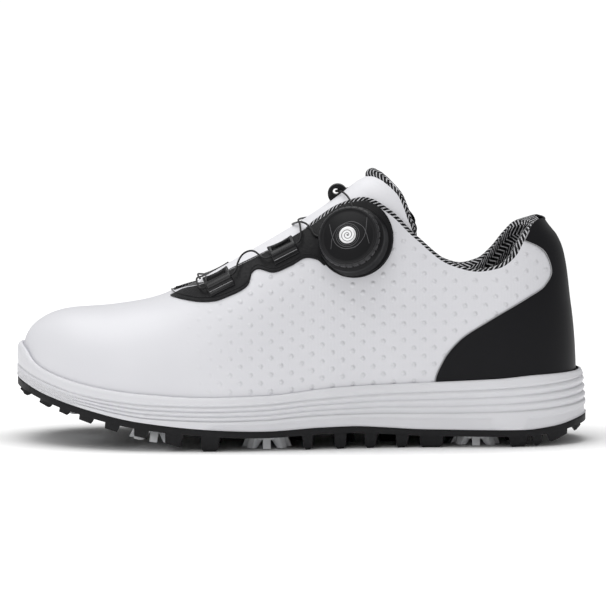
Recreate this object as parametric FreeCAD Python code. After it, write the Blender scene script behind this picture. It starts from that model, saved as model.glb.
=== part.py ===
"""Left golf shoe with a dial lace closure, soft cleats and a rubber outsole.

Frame: millimetres, +Z up, ground at Z = 0. The toe points along -X and the heel along +X.
The lateral side, with the dial, faces -Y. The origin is under the middle of the shoe.

The upper is built as layers of one foot-shaped body, the last. last_solid(inset) is that body with
its skin moved inwards, so layer(outer, inner) is a sheet of even thickness. Each panel is a
stretch of a layer, cut out by an outline seen from the side.
"""
import FreeCAD
import Part
import math
import os

V = FreeCAD.Vector

# ---------------------------------------------------------------- driving dimensions
SHOE_LENGTH = 300.0
HALF = SHOE_LENGTH / 2
BAND_THICKNESS = 3.5          # outsole rubber under the midsole
RIM_WALL = 3.2                # midsole sidewall beside the upper
UPPER_INSET = 3.5             # upper's skin, inside the midsole's outline at the toe and sides
HEEL_INSET = 6.0              # the same at the heel
UPPER_SKIN = 1.6
OVERLAY = 1.2
LINING_GAP = 0.2
SOCKLINER = 4.5
BOARD = 1.4
FAR = 200.0                   # well outside the shoe

TOE_ROUND = 60.0              # length of the rounded toe in plan
HEEL_ROUND = 48.0
TOE_PLAN_POWER = 2.1
HEEL_PLAN_POWER = 2.2
TOE_CAP = 42.0                # length over which the toe cap rises
TOE_CAP_POWER = 3.5
HEEL_CAP = 44.0
HEEL_CAP_POWER = 2.2

# Shape along the shoe: (x, value) pairs, joined by a smooth curve.
PLAN_HALF_WIDTH = [(-150, 49.5), (-112, 51.5), (-80, 53.5), (-50, 53.0), (-20, 48.0), (10, 42.0),
                   (40, 38.3), (70, 37.6), (150, 37.6)]
PLAN_CENTRE = [(-150, 9.2), (-112, 4.7), (-80, 0.2), (-50, -1.8), (-20, -3.3), (10, -2.8),
               (40, -0.6), (70, 1.0), (150, 1.7)]
SOLE_BOTTOM = [(-150, 33.5), (-135, 27.3), (-110, 20.3), (-85, 15.3), (-50, 11.6), (-19, 10.3),
               (10, 11.6), (26, 11.9), (45, 10.9), (65, 9.7), (115, 9.1), (132, 10.6), (150, 15)]
RIM_TOP = [(-150, 51), (-146.5, 48), (-143, 43.6), (-137, 39.8), (-118, 34.2), (-101, 31.4),
           (-85, 29.8), (-53, 28.1), (-19, 28.7), (21, 32.3), (61, 33.8), (104, 35.7), (126, 37.4),
           (150, 37.8)]
BED = [(-150, 41), (-135, 34), (-110, 27), (-85, 22.5), (-50, 20), (-19, 20), (10, 22), (45, 23.5),
       (115, 25), (150, 26)]
RIDGE = [(-150, 65), (-125, 68.6), (-105, 70), (-85, 73), (-75, 75.6), (-66, 79.5), (-49, 89.8),
         (-31, 100.3), (-6, 114.9), (9, 124.3), (34, 142.2), (60, 158.5), (80, 156), (100, 142),
         (122, 132.5), (150, 132)]
GROUND = [(-150, 26), (-135, 18.7), (-110, 11), (-85, 5.2), (-66, 1.6), (-52, 0), (-30, 0), (50, 0),
          (112, 0), (124, 0.8), (136, 3.2), (150, 9)]
SIDE_POWER = [(-150, 2.5), (-60, 2.4), (0, 2.2), (150, 2.2)]
HEIGHT_POWER = [(-150, 2.4), (-60, 2.4), (0, 2.9), (150, 3.0)]

# Outlines seen from the side, as (x, z).
THROAT_TIP = (-67, 79)
LATERAL_TOPLINE = [(-67, 79), (-60, 82), (-53, 84), (-37, 92), (-19, 101), (5, 114.8), (20, 124.4),
                   (32, 127.6), (45, 121.5), (58, 109.5), (77, 95), (92, 91.4), (103, 93.2),
                   (111, 98.8), (117, 109), (121, 115.5), (125, 117.8), (131, 119)]
MEDIAL_TOPLINE = [(-67, 79), (-60, 80.6), (-53, 82), (-37, 89.6), (-19, 98.6), (5, 112.4),
                  (20, 121.6), (32, 122.6), (45, 114.4), (58, 103), (72, 92.5), (84, 89),
                  (94, 91.5), (102, 98), (109, 106.5), (116, 113.5), (121, 116.5), (125, 117.8),
                  (131, 119)]
FOXING_EDGE = [(69.5, 20), (69.5, 34), (73.5, 45), (82, 55.8), (99, 67), (118, 78), (126, 83),
               (130.3, 90.3), (127.5, 99.6), (117, 106.5), (98, 108)]
EYESTAY_LOW = [(-69, 78), (-62, 77.3), (-53, 76.7), (-46, 77.2), (-36.5, 80.5), (-30, 83.7),
               (-27, 87), (-26, 91.5), (-22.5, 93.6), (-15, 92), (-5.7, 95.2), (3, 99.4), (8, 99),
               (15, 93)]
MEDIAL_EYESTAY_LOW = EYESTAY_LOW[:11] + [(3, 99.4), (18, 103), (34, 106), (48, 108)]
TONGUE_EDGE = [(-80, 70), (-60, 73), (-40, 83), (-20, 93), (0, 104), (20, 112), (40, 110),
               (54, 107), (60, 112), (54, 122), (46, 132), (38.5, 142.5), (34, 152)]

# Dial
DIAL_X, DIAL_Z = 27.1, 106.9
DIAL_PATCH = 20.0            # radius of the eyestay's round end under the dial
PATCH_SHIFT = (0.4, 2.25)    # its centre from the dial's axis, across and up
DIAL_AXIS = V(-0.25, -0.90, 0.36)
HOUSING_R, HOUSING_FOOT_R = 15.6, 17.6
HOUSING_FLOOR, HOUSING_TOP = 1.0, 5.0
HOUSING_BORE = 13.2
TOOTH_COUNT = 30
KNOB_R, KNOB_BASE, KNOB_TOP = 15.4, 5.4, 10.6
GRIP_R = 16.3
GRIP_NOTCHES = 28
KNOB_LIFT = 2.5
MEDALLION_R = 4.4
SPOOL_R, SPOOL_CORE = 8.8, 5.0
POST_R = 1.7
POST_BORE = 1.78

LACE_R = 0.55
LACE_BORE = 0.85
GUIDE_SIZE = (14.8, 6.2)      # block of a lace guide, along and across the throat's slope
GUIDE_LIFT = 3.2              # lace centreline above the last's skin inside a guide
BLOCK_DROP = 2.4              # block's middle, down the side from the guide's own point
BLOCK_HEIGHT = 4.1            # block's face above the last's skin
CHANNEL_DROP = 4.0            # channel, down the side from the guide's own point
CHANNEL_R = 1.6
SLOPE_U, SLOPE_V = 0.891, 0.454
GUIDES = {"lateral_guide_front": (-43.8, 88.0, -1), "lateral_guide_rear": (-10.5, 104.4, -1),
          "medial_guide_front": (-43.8, 85.5, 1), "medial_guide_rear": (-10.5, 101.9, 1),
          "medial_guide_upper": (24.0, 117.0, 1)}
TONGUE_INSET = 3.0
CLEAT_R = 12.8
CLEATS = [("toe", -112, 6), ("lateral_front", -76, -33), ("medial_front", -70, 34),
          ("lateral_ball", -18, -31), ("medial_ball", -14, 26), ("lateral_heel", 91, -17),
          ("medial_heel", 91, 20)]


# ---------------------------------------------------------------- curves along the shoe
def smooth(points, x):
    """The smooth curve through (x, value) points, held level past its ends."""
    if x <= points[0][0]:
        return points[0][1]
    if x >= points[-1][0]:
        return points[-1][1]
    i = max(k for k in range(len(points) - 1) if points[k][0] <= x)
    slopes = [(b[1] - a[1]) / (b[0] - a[0]) for a, b in zip(points, points[1:])]

    def tangent(k):
        if k == 0 or k == len(points) - 1:
            return slopes[min(k, len(slopes) - 1)]
        left, right = slopes[k - 1], slopes[k]
        return 0.0 if left * right <= 0 else 2 * left * right / (left + right)

    span = points[i + 1][0] - points[i][0]
    t = (x - points[i][0]) / span
    return ((2 * t**3 - 3 * t**2 + 1) * points[i][1] + (t**3 - 2 * t**2 + t) * span * tangent(i)
            + (3 * t**2 - 2 * t**3) * points[i + 1][1] + (t**3 - t**2) * span * tangent(i + 1))


def rounding(x, toe_inset, heel_inset, toe, heel, toe_power, heel_power):
    """1 along the middle of the shoe, falling to 0 at the inset toe and heel ends."""
    toe_past = (-HALF + toe - x) / (toe - toe_inset)
    heel_past = (x - HALF + heel) / (heel - heel_inset)
    for past, power in ((toe_past, toe_power), (heel_past, heel_power)):
        if past > 0:
            return (1 - min(past, 1.0) ** power) ** (1 / power)
    return 1.0


def half_width(x, inset, heel_inset=None):
    """Half the width of the plan outline, moved inwards by inset."""
    heel_inset = inset if heel_inset is None else heel_inset
    round_off = rounding(x, inset, heel_inset, TOE_ROUND, HEEL_ROUND, TOE_PLAN_POWER,
                         HEEL_PLAN_POWER)
    return (smooth(PLAN_HALF_WIDTH, x) - inset) * round_off


def last_half_width(x, inset):
    return half_width(x, UPPER_INSET + inset, HEEL_INSET + inset)


def last_top(x, inset):
    """Height of the last's ridge, whose ends close down to the bed at the toe and the heel."""
    low = smooth(BED, x)
    rise = rounding(x, UPPER_INSET + inset, HEEL_INSET + inset, TOE_CAP, HEEL_CAP, TOE_CAP_POWER,
                    HEEL_CAP_POWER)
    return low + (smooth(RIDGE, x) - inset - low) * rise


def section_point(x, inset, angle):
    """A point of the last's cross-section: angle 0 is the lateral foot and pi the medial foot."""
    low, top = smooth(BED, x), last_top(x, inset)
    across = abs(math.cos(angle)) ** (2 / smooth(SIDE_POWER, x))
    up = math.sin(angle) ** (2 / smooth(HEIGHT_POWER, x))
    side = -1 if angle < math.pi / 2 else 1
    y = smooth(PLAN_CENTRE, x) + side * last_half_width(x, inset) * across
    return V(x, y, low + (top - low) * up)


def side_y(x, z, inset=0.0, side=-1):
    """Y of the last's skin at (x, z), on the lateral side by default."""
    low, top = smooth(BED, x), last_top(x, inset)
    share = min(max((z - low) / (top - low), 0.0), 1.0)
    across = (1 - share ** smooth(HEIGHT_POWER, x)) ** (1 / smooth(SIDE_POWER, x))
    return smooth(PLAN_CENTRE, x) + side * last_half_width(x, inset) * across


def skin_z(x, y, inset=0.0):
    """Height of the last's skin above (x, y)."""
    low, top = smooth(BED, x), last_top(x, inset)
    share = abs(y - smooth(PLAN_CENTRE, x)) / last_half_width(x, inset)
    return low + (top - low) * (1 - share ** smooth(SIDE_POWER, x)) ** (1 / smooth(HEIGHT_POWER, x))


def skin_normal(x, z, side=-1):
    """Outward unit normal of the last's skin at (x, z) on one side."""
    step = 0.5
    along = V(2 * step, side_y(x + step, z, 0, side) - side_y(x - step, z, 0, side), 0)
    up = V(0, side_y(x, z + step, 0, side) - side_y(x, z - step, 0, side), 2 * step)
    normal = along.cross(up) * (1 if side < 0 else -1)
    return normal.normalize()


# ---------------------------------------------------------------- solids from curves
def spline(points):
    curve = Part.BSplineCurve()
    curve.interpolate(points)
    return curve.toShape()


def outline_face(inset, heel_inset=None, z=0.0, steps=22):
    """The plan outline, moved inwards, as a flat face at height z."""
    heel_inset = inset if heel_inset is None else heel_inset
    start, end = -HALF + inset, HALF - heel_inset
    shares = [(1 - math.cos(math.pi * k / steps)) / 2 for k in range(steps + 1)]
    xs = [start + (end - start) * share for share in shares]
    centres = [smooth(PLAN_CENTRE, x) for x in xs]
    halves = [half_width(x, inset, heel_inset) for x in xs]
    lateral = [V(x, c - h, z) for x, c, h in zip(xs, centres, halves)]
    medial = [V(x, c + h, z) for x, c, h in zip(xs, centres, halves)][-2:0:-1]
    curve = Part.BSplineCurve()
    curve.interpolate(Points=lateral + medial, PeriodicFlag=True)
    return Part.Face(Part.Wire(curve.toShape()))


def between(low, high, steps=26):
    """The slab between two height curves, seen from the side, through the full width."""
    xs = [-HALF - 2 + (SHOE_LENGTH + 4) * k / steps for k in range(steps + 1)]
    bottom = [V(x, -FAR, low(x)) for x in xs]
    top = [V(x, -FAR, high(x)) for x in xs]
    wire = Part.Wire([spline(bottom), Part.makeLine(bottom[-1], top[-1]), spline(top[::-1]),
                      Part.makeLine(top[0], bottom[0])])
    return Part.Face(wire).extrude(V(0, 2 * FAR, 0))


def prism_beside(edge, corner, y_from, y_to):
    """A prism along Y, bounded by the curve through edge and by straight lines to the corners."""
    points = [V(x, y_from, z) for x, z in edge]
    corners = [V(x, y_from, z) for x, z in corner]
    lines = Part.makePolygon([points[-1]] + corners + [points[0]])
    wire = Part.Wire([spline(points)] + lines.Edges)
    return Part.Face(wire).extrude(V(0, y_to - y_from, 0))


def last_solid(inset, foot_drop=0.5, samples=18):
    """The last as a solid, with its skin moved inwards and its sides dropped at the foot."""
    end, heel_end = UPPER_INSET + inset, HEEL_INSET + inset
    toe_angles = [0.13, 0.25, 0.42, 0.62, 0.85, 1.1, 1.35]
    toe = [-HALF + end + (TOE_ROUND - end) * (1 - math.cos(a)) for a in toe_angles]
    heel_angles = [1.3, 1.05, 0.82, 0.6, 0.4, 0.24, 0.13]
    heel = [HALF - heel_end - (HEEL_ROUND - heel_end) * (1 - math.cos(a)) for a in heel_angles]
    middle = [-78, -66, -50, -32, -12, 10, 32, 55, 76]
    angles = [math.pi * k / samples for k in range(samples + 1)]
    surface = Part.BSplineSurface()
    surface.interpolate([[section_point(x, inset, a) for a in angles] for x in toe + middle + heel])
    u0, u1, v0, v1 = surface.bounds()
    lateral, medial = surface.vIso(v0).toShape(), surface.vIso(v1).toShape()
    drop = V(0, 0, -foot_drop)
    low_lateral, low_medial = lateral.translated(drop), medial.translated(drop)
    faces = [surface.toShape(), Part.makeRuledSurface(lateral, low_lateral),
             Part.makeRuledSurface(medial, low_medial),
             Part.makeRuledSurface(low_lateral, low_medial)]
    for u in (u0, u1):
        arch = surface.uIso(u).toShape()
        start, finish = surface.value(u, v0), surface.value(u, v1)
        foot = Part.makePolygon([finish, finish + drop, start + drop, start])
        faces.append(Part.Face(Part.Wire([arch] + foot.Edges)))
    shell = Part.makeShell(faces)
    shell.sewShape()
    solid = Part.makeSolid(shell)
    if solid.Volume < 0:
        solid.reverse()
    return solid


SKINS = {}


def skin(inset, foot_drop=0.5):
    """last_solid, made once for each pair of values."""
    if (inset, foot_drop) not in SKINS:
        SKINS[(inset, foot_drop)] = last_solid(inset, foot_drop)
    return SKINS[(inset, foot_drop)]


def panel(outer, inner, *regions):
    """The sheet between two insets of the last, kept only where it lies inside every region."""
    sheet = skin(outer)
    for region in regions:
        sheet = sheet.common(region)
    return sheet.cut(skin(inner, 6.0))


def box(x0, x1, y0, y1, z0, z1):
    return Part.makeBox(x1 - x0, y1 - y0, z1 - z0, V(x0, y0, z0))


def outline_prism(inset, heel_inset=None):
    return outline_face(inset, heel_inset).extrude(V(0, 0, FAR))


def disc(radius, low, high, bore=0.0):
    """A disc on the Z axis between two heights, with a bore if one is given."""
    solid = Part.makeCylinder(radius, high - low, V(0, 0, low))
    if bore:
        solid = solid.cut(Part.makeCylinder(bore, high - low + 2, V(0, 0, low - 1)))
    return solid


def turned(shape, degrees):
    copy = shape.copy()
    copy.rotate(V(0, 0, 0), V(0, 0, 1), degrees)
    return copy


def largest(shape):
    """The shape's largest solid, mended if need be. It drops slivers that a cut leaves."""
    solid = max(shape.Solids, key=lambda piece: piece.Volume)
    if not solid.isValid():
        solid.fix(0.01, 0.01, 0.01)
    return solid


def along(u, v, centre, length, width, bend=2.0):
    """A rounded rectangle about centre in the side view, with its long side along (u, v)."""
    half, side = length / 2 - bend, width / 2 - bend
    corners = [(half, side), (-half, side), (-half, -side), (half, -side)]
    face = None
    for a, b in corners:
        x, z = centre[0] + a * u - b * v, centre[1] + a * v + b * u
        spot = Part.makeCylinder(bend, 2 * FAR, V(x, -FAR, z), V(0, 1, 0))
        face = spot if face is None else face.fuse(spot)
    for grow_a, grow_b in ((bend, 0), (0, bend)):
        ring = [V(centre[0] + p * (half + grow_a) * u - q * (side + grow_b) * v, -FAR,
                  centre[1] + p * (half + grow_a) * v + q * (side + grow_b) * u)
                for p, q in ((1, 1), (-1, 1), (-1, -1), (1, -1), (1, 1))]
        face = face.fuse(Part.Face(Part.makePolygon(ring)).extrude(V(0, 2 * FAR, 0)))
    return face.removeSplitter()


# ---------------------------------------------------------------- regions of the upper
def below(edge, low=0.0, side=-1):
    """Everything under a topline, on one side of the shoe."""
    start, end = edge[0], edge[-1]
    corner = [(HALF + 20, end[1]), (HALF + 20, low), (-HALF - 20, low), (-HALF - 20, start[1] + 30),
              (start[0] - 6, start[1] + 30)]
    if side < 0:
        return prism_beside(edge, corner, -FAR, 0)
    return prism_beside(edge, corner, 0, FAR)


def raised(edge, lift):
    return [(x, z + lift) for x, z in edge]


def two_sides(lift=0.0, low=0.0):
    lateral = below(raised(LATERAL_TOPLINE, lift), low, -1)
    return lateral.fuse(below(raised(MEDIAL_TOPLINE, lift), low, 1)).removeSplitter()


def foxing_region(shrink=0.0):
    edge = [(x + shrink, z) for x, z in FOXING_EDGE]
    return prism_beside(edge, [(98, 150), (HALF + 20, 150), (HALF + 20, 20)], -FAR, FAR)


def eyestay_region(low_edge, topline, side):
    """The overlay along one side of the throat, with a round patch under the dial."""
    top = [p for p in topline if p[0] < 47]
    corner = [(x, z) for x, z in reversed(top)]
    near, far = (-FAR, 0) if side < 0 else (0, FAR)
    strip = prism_beside(low_edge, corner, near, far)
    return strip.common(below(topline, 0, side))


# ---------------------------------------------------------------- dial frame
DIAL_N = V(DIAL_AXIS).normalize()
DIAL_U = V(0, 0, 1).cross(DIAL_N).normalize()
DIAL_V = DIAL_N.cross(DIAL_U)
DIAL_FOOT = V(DIAL_X, side_y(DIAL_X, DIAL_Z), DIAL_Z) + DIAL_N * (OVERLAY + 1.6)
DIAL_PLACE = FreeCAD.Placement(DIAL_FOOT, FreeCAD.Rotation(DIAL_U, DIAL_V, DIAL_N, "ZXY"))


def at_dial(shape):
    """Moves a shape built on the Z axis to the dial, with Z along the dial's axis."""
    copy = shape.copy()
    copy.Placement = DIAL_PLACE.multiply(copy.Placement)
    return copy


def dial_point(u, v, n):
    return DIAL_FOOT + DIAL_U * u + DIAL_V * v + DIAL_N * n


# ---------------------------------------------------------------- lace route
def off_side(x, z, lift, side=-1):
    """A point standing off the side of the upper."""
    return V(x, side_y(x, z, 0, side), z) + skin_normal(x, z, side) * lift


def off_top(x, y, lift):
    """A point above the last's skin, over (x, y)."""
    return V(x, y, skin_z(x, y) + lift)


def guide_point(name, reach, drop, lift):
    """A point of a guide: reach runs towards the heel, drop down the side from its own point."""
    x, z, side = GUIDES[name]
    x, z = x + reach * SLOPE_U + drop * SLOPE_V, z + reach * SLOPE_V - drop * SLOPE_U
    return off_side(x, z, lift, side)


def channel(name, reach):
    return guide_point(name, reach, CHANNEL_DROP, GUIDE_LIFT)


RIDGE_RISE = V(-0.585, 0, 0.811)
TONGUE_EYE = V(19.5, 0, last_top(19.5, 0) - TONGUE_INSET) + RIDGE_RISE * 2.6


def lace_points():
    """Control points of the lace, from the dial's side port round to its top port."""
    half = GUIDE_SIZE[0] / 2
    points = [dial_point(-9.2, 3.0, 2.9), dial_point(-HOUSING_FOOT_R - 1.0, -1.0, 3.0)]
    points += [off_top(4.3, -24.5, 3.6), off_top(0.0, -18.0, 2.0), off_top(-3.4, -10.0, -0.8),
               off_top(-4.8, 0, -2.0), off_top(-4.8, 9.0, -1.0), off_top(-2.0, 16.5, 1.2),
               off_top(3.6, 22.5, 3.2)]
    points += [channel("medial_guide_rear", half + 3), channel("medial_guide_rear", half - 2),
               channel("medial_guide_rear", -half), channel("medial_guide_front", half),
               channel("medial_guide_front", -half + 2), channel("medial_guide_front", -half - 3)]
    points += [off_top(-55.5, 16, 2.4), off_top(-52.0, 8, -1.0), off_top(-50.0, 0, -2.0),
               off_top(-52.0, -8, -1.0), off_top(-55.5, -16, 2.4)]
    points += [channel("lateral_guide_front", -half - 3), channel("lateral_guide_front", -half + 2),
               channel("lateral_guide_front", half - 2), channel("lateral_guide_front", half + 2.5),
               off_side(-31.5, 94.5, 3.4), off_top(-29.8, -22.0, 4.0), off_top(-24.5, -24.0, 3.8),
               channel("lateral_guide_rear", -half - 4), channel("lateral_guide_rear", -half + 2),
               channel("lateral_guide_rear", half - 2), channel("lateral_guide_rear", half + 3)]
    points += [off_top(-0.6, -23.0, 4.8), off_top(-1.8, -16.5, 2.6), off_top(-1.4, -8.0, -0.6),
               off_top(0.2, 1.0, -2.0), off_top(3.2, 10.0, -1.4), off_top(8.0, 18.0, 1.4),
               off_top(12.5, 23.5, 3.4)]
    points += [channel("medial_guide_upper", -half - 3), channel("medial_guide_upper", -half + 2),
               channel("medial_guide_upper", half - 2), channel("medial_guide_upper", half + 3)]
    points += [off_top(38.5, 25.5, 3.0), off_top(33.0, 18.0, 1.0), off_top(26.0, 10.5, -1.0),
               TONGUE_EYE + V(0, 3.6, 0), TONGUE_EYE - V(0, 3.6, 0), off_top(21.5, -11.0, 0.4),
               dial_point(-1.0, HOUSING_FOOT_R + 2.0, 3.4), dial_point(1.5, 9.4, 2.9)]
    return points


# ---------------------------------------------------------------- tubes along a route
def rounded_route(points):
    """A wire of straight runs, with an arc at each corner as large as its runs allow."""
    edges = []
    start = points[0]
    for before, here, after in zip(points, points[1:], points[2:]):
        back, on = (before - here), (after - here)
        reach = 0.45 * min(back.Length, on.Length)
        back.normalize()
        on.normalize()
        entry, leave = here + back * reach, here + on * reach
        bisector = back + on
        turn = math.pi - back.getAngle(on)
        if turn < 0.01:
            continue
        radius = reach / math.tan(turn / 2)
        middle = here + bisector.normalize() * (radius / math.cos(turn / 2) - radius)
        edges.append(Part.makeLine(start, entry))
        edges.append(Part.Arc(entry, middle, leave).toShape())
        start = leave
    edges.append(Part.makeLine(start, points[-1]))
    return Part.Wire(edges)


def tube(wire, radius):
    edge = wire.Edges[0]
    start = edge.valueAt(edge.FirstParameter)
    tangent = edge.tangentAt(edge.FirstParameter)
    profile = Part.Wire(Part.makeCircle(radius, start, tangent))
    return wire.makePipeShell([profile], True, False, 0)


# ---------------------------------------------------------------- parts
os.makedirs("parts", exist_ok=True)


def save(name, shape):
    shape.exportStep("parts/" + name + ".step")
    print(name, round(shape.Volume / 1000, 2), "cm3", "ok" if shape.isValid() else "INVALID",
          len(shape.Solids))


# Upper skin: one piece of microfibre from the toe round to the foxing, and the foxing itself.
UNDER_TOPLINE = two_sides()
FOXING = foxing_region()
outer_skin = panel(0.0, UPPER_SKIN, UNDER_TOPLINE)
save("upper_shell", largest(outer_skin.cut(foxing_region(-0.1))))
save("heel_foxing", largest(outer_skin.common(FOXING)))

lateral_stay = eyestay_region(EYESTAY_LOW, LATERAL_TOPLINE, -1)
medial_stay = eyestay_region(MEDIAL_EYESTAY_LOW, MEDIAL_TOPLINE, 1)
dial_patch = at_dial(disc(DIAL_PATCH, -30, 30).translated(V(*PATCH_SHIFT, 0)))
dial_patch = dial_patch.common(below(LATERAL_TOPLINE, 0, -1))
save("lateral_eyestay", largest(panel(-OVERLAY, -0.1, lateral_stay.fuse(dial_patch))))
lace_wire = rounded_route(lace_points())
lace_way = tube(lace_wire, LACE_BORE)
save("medial_eyestay", largest(panel(-OVERLAY, -0.1, medial_stay).cut(lace_way)))

# Stiffeners and linings behind the skin.
front = box(-HALF, -92, -FAR, FAR, 0, FAR)
heel_cup = box(76, HALF, -FAR, FAR, 0, 82)
save("toe_puff", largest(panel(1.7, 2.7, front)))
save("heel_counter", largest(panel(1.7, 3.1, heel_cup)))
tongue_zone = prism_beside(TONGUE_EDGE, [(-80, 152)], -FAR, FAR)
front_lining = box(-HALF, -74, -FAR, FAR, 0, FAR).cut(tongue_zone.translated(V(-0.5, 0, -0.5)))
save("vamp_lining", largest(panel(2.8, 3.6, front_lining)))
middle = box(-72, 50, -FAR, FAR, 0, FAR)
side_lining = panel(1.7, 2.6, middle, UNDER_TOPLINE)
save("lateral_lining", largest(side_lining.common(box(-FAR, FAR, -FAR, -0.2, 0, FAR))))
save("medial_lining", largest(side_lining.common(box(-FAR, FAR, 0.2, FAR, 0, FAR))))

# Padded knit collar round the ankle and heel, with its foam inside.
PAD_LOW = [(47, 112), (54, 97), (66, 82), (84, 73), (104, 71), (120, 74), (145, 76)]
collar_top = two_sides(1.8, -20)
clear_of_tongue = tongue_zone.translated(V(0.6, 0, -0.4))
pad_zone = prism_beside(PAD_LOW, [(160, 76), (160, FAR), (47, FAR)], -FAR, FAR)
pad_zone = pad_zone.cut(clear_of_tongue)
foam_zone = prism_beside(raised(PAD_LOW, 2.2), [(160, 78), (160, FAR), (49.5, FAR),
                                              (49.5, 120)], -FAR, FAR)
foam_zone = foam_zone.cut(tongue_zone.translated(V(2.0, 0, -1.5)))
foam = largest(panel(4.2, 8.2, two_sides(0.6, -20), foam_zone))
collar = panel(3.2, 9.2, collar_top, pad_zone).cut(panel(4.1, 8.3, two_sides(0.75, -20),
                                                         foam_zone))
save("collar_foam", foam)
save("collar_lining", largest(collar))
heel_lining_zone = box(52, HALF, -FAR, FAR, 0, FAR).cut(
    prism_beside(raised(PAD_LOW, -0.3), [(160, 76), (160, FAR), (47, FAR)], -FAR, FAR))
save("heel_lining", largest(panel(3.2, 4.0, heel_lining_zone, UNDER_TOPLINE)))

# Tongue under the throat.
save("tongue", largest(panel(TONGUE_INSET, TONGUE_INSET + 4.4, tongue_zone)))
save("tongue_lining", largest(panel(TONGUE_INSET + 4.5, TONGUE_INSET + 5.5, tongue_zone)))

# Boards under the foot.
BOARD_INSET = UPPER_INSET + 4.2
BOARD_HEEL_INSET = HEEL_INSET + 4.2


def bed_slab(low, high):
    return between(lambda x: smooth(BED, x) + low, lambda x: smooth(BED, x) + high)


board = outline_prism(BOARD_INSET, BOARD_HEEL_INSET).common(bed_slab(-0.1, BOARD - 0.4))
save("insole_board", board)
liner = outline_prism(BOARD_INSET + 0.2, BOARD_HEEL_INSET + 0.2)
save("sockliner", liner.common(bed_slab(BOARD - 0.3, BOARD - 0.3 + SOCKLINER)))
shank_plan = box(-28, 78, -9, 9, 0, FAR)
save("shank", shank_plan.common(bed_slab(-2.3, -0.6)))

# Sole. Cleat receptacles are pressed into pockets that reach into the midsole.
def sole_bottom(x):
    return smooth(SOLE_BOTTOM, x)


def cleat_place(x, y):
    """Moves a shape on the Z axis under the sole at (x, y), square to the sole there."""
    slope = (sole_bottom(x + 4) - sole_bottom(x - 4)) / 8
    tilt = -math.degrees(math.atan(slope))
    height = sole_bottom(x) - BAND_THICKNESS
    return FreeCAD.Placement(V(x, y, height), FreeCAD.Rotation(V(0, 1, 0), tilt))


def at_cleat(shape, x, y):
    copy = shape.copy()
    copy.Placement = cleat_place(x, y).multiply(copy.Placement)
    return copy


pockets = [at_cleat(disc(8.1, -3, 4.6), x, y) for name, x, y in CLEATS]
midsole = outline_prism(0).common(between(sole_bottom, lambda x: smooth(RIM_TOP, x)))
midsole = midsole.cut(skin(-0.15)).cut(box(-28.3, 78.3, -9.3, 9.3, 0, FAR).common(
    bed_slab(-2.6, 2.0)))
for pocket in pockets:
    midsole = midsole.cut(pocket)
save("midsole", largest(midsole))

LATERAL_LUGS = [(-146.5, -140.5), (-136, -129), (-125.5, -119.5), (-115, -107), (-101.5, -93.5),
                (-86.5, -78.5), (-70.5, -61), (-52, -42), (0, 6), (16.7, 23.5), (32.8, 39.7),
                (49, 56), (61.2, 74), (107.7, 118), (119.5, 125.3), (127.3, 138.8), (140.5, 146)]
MEDIAL_LUGS = [(-146.5, -140.5), (-132, -125), (-119, -111.5), (-104, -96.5), (-92, -84.5),
               (-55, -45), (-39, -31), (4, 12), (22, 30), (38, 46), (54, 62), (67, 75.5),
               (106.5, 114), (117.5, 125), (129, 137), (140.5, 146)]
INNER_LUGS = [(-96, -10, 12, 14), (-96, 16, 12, 14), (-46, -12, 10, 12), (-44, 8, 10, 12),
              (-2, 0, 10, 10), (22, -8, 12, 8), (22, 10, 12, 8), (46, -6, 12, 8), (46, 11, 12, 8),
              (70, 2, 10, 12), (112, 2, 12, 12)]
LUG_DEPTH = 13.0


def lug(x0, x1, y0, y1, levels):
    """A block that narrows from the outsole's plate down to the ground line.

    y0 and y1 are pairs: the block's sides at x0 and at x1. Each level below the plate is a height
    over the ground line, how far the sides draw in there, and how squarely the block stands to the
    plate: 0 is upright and 1 is square to it."""
    slope = (sole_bottom(x1) - sole_bottom(x0)) / (x1 - x0)
    rings = []
    for rise, pull, square in [(None, 0.0, 0.0)] + levels:
        ring = []
        for x, near, far, step in ((x0, y0[0], y1[0], pull), (x1, y0[1], y1[1], -pull)):
            top = sole_bottom(x) - BAND_THICKNESS + 1.0
            shift = square * slope * (top - smooth(GROUND, x))
            z = top if rise is None else smooth(GROUND, x + shift) + rise
            sides = [V(x + step + shift, near + pull, z), V(x + step + shift, far - pull, z)]
            ring += sides if x == x0 else sides[::-1]
        rings.append(Part.makePolygon(ring + ring[:1]))
    return Part.makeLoft(rings, True, True)


EDGE_LUG = [(1.4, 0.8, 0.8), (0.0, 2.0, 1.0)]
INNER_LUG = [(0.0, 1.3, 0.0)]


def edge_y(x, side, inset):
    return smooth(PLAN_CENTRE, x) + side * half_width(x, inset)


blocks = []
for side, places in ((-1, LATERAL_LUGS), (1, MEDIAL_LUGS)):
    for x0, x1 in places:
        outer = [edge_y(x, side, 1.0) for x in (x0, x1)]
        inner = [y - side * LUG_DEPTH for y in outer]
        blocks.append(lug(x0, x1, *((outer, inner) if side < 0 else (inner, outer)), EDGE_LUG))
for x, y, length, width in INNER_LUGS:
    near, far = [y - width / 2] * 2, [y + width / 2] * 2
    blocks.append(lug(x - length / 2, x + length / 2, near, far, INNER_LUG))
plate = outline_prism(0.6).common(between(lambda x: sole_bottom(x) - BAND_THICKNESS,
                                          lambda x: sole_bottom(x) - 0.05))
clear_of_cleats = [at_cleat(disc(CLEAT_R + 1.5, -9, 0), x, y) for name, x, y in CLEATS]
outsole = plate.multiFuse(blocks)
for tool in clear_of_cleats + pockets:
    outsole = outsole.cut(tool)
save("outsole", largest(outsole))

RECEPTACLE = disc(8.0, 0.2, 4.5, 0).cut(disc(4.5, -1, 3.9))


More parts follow.
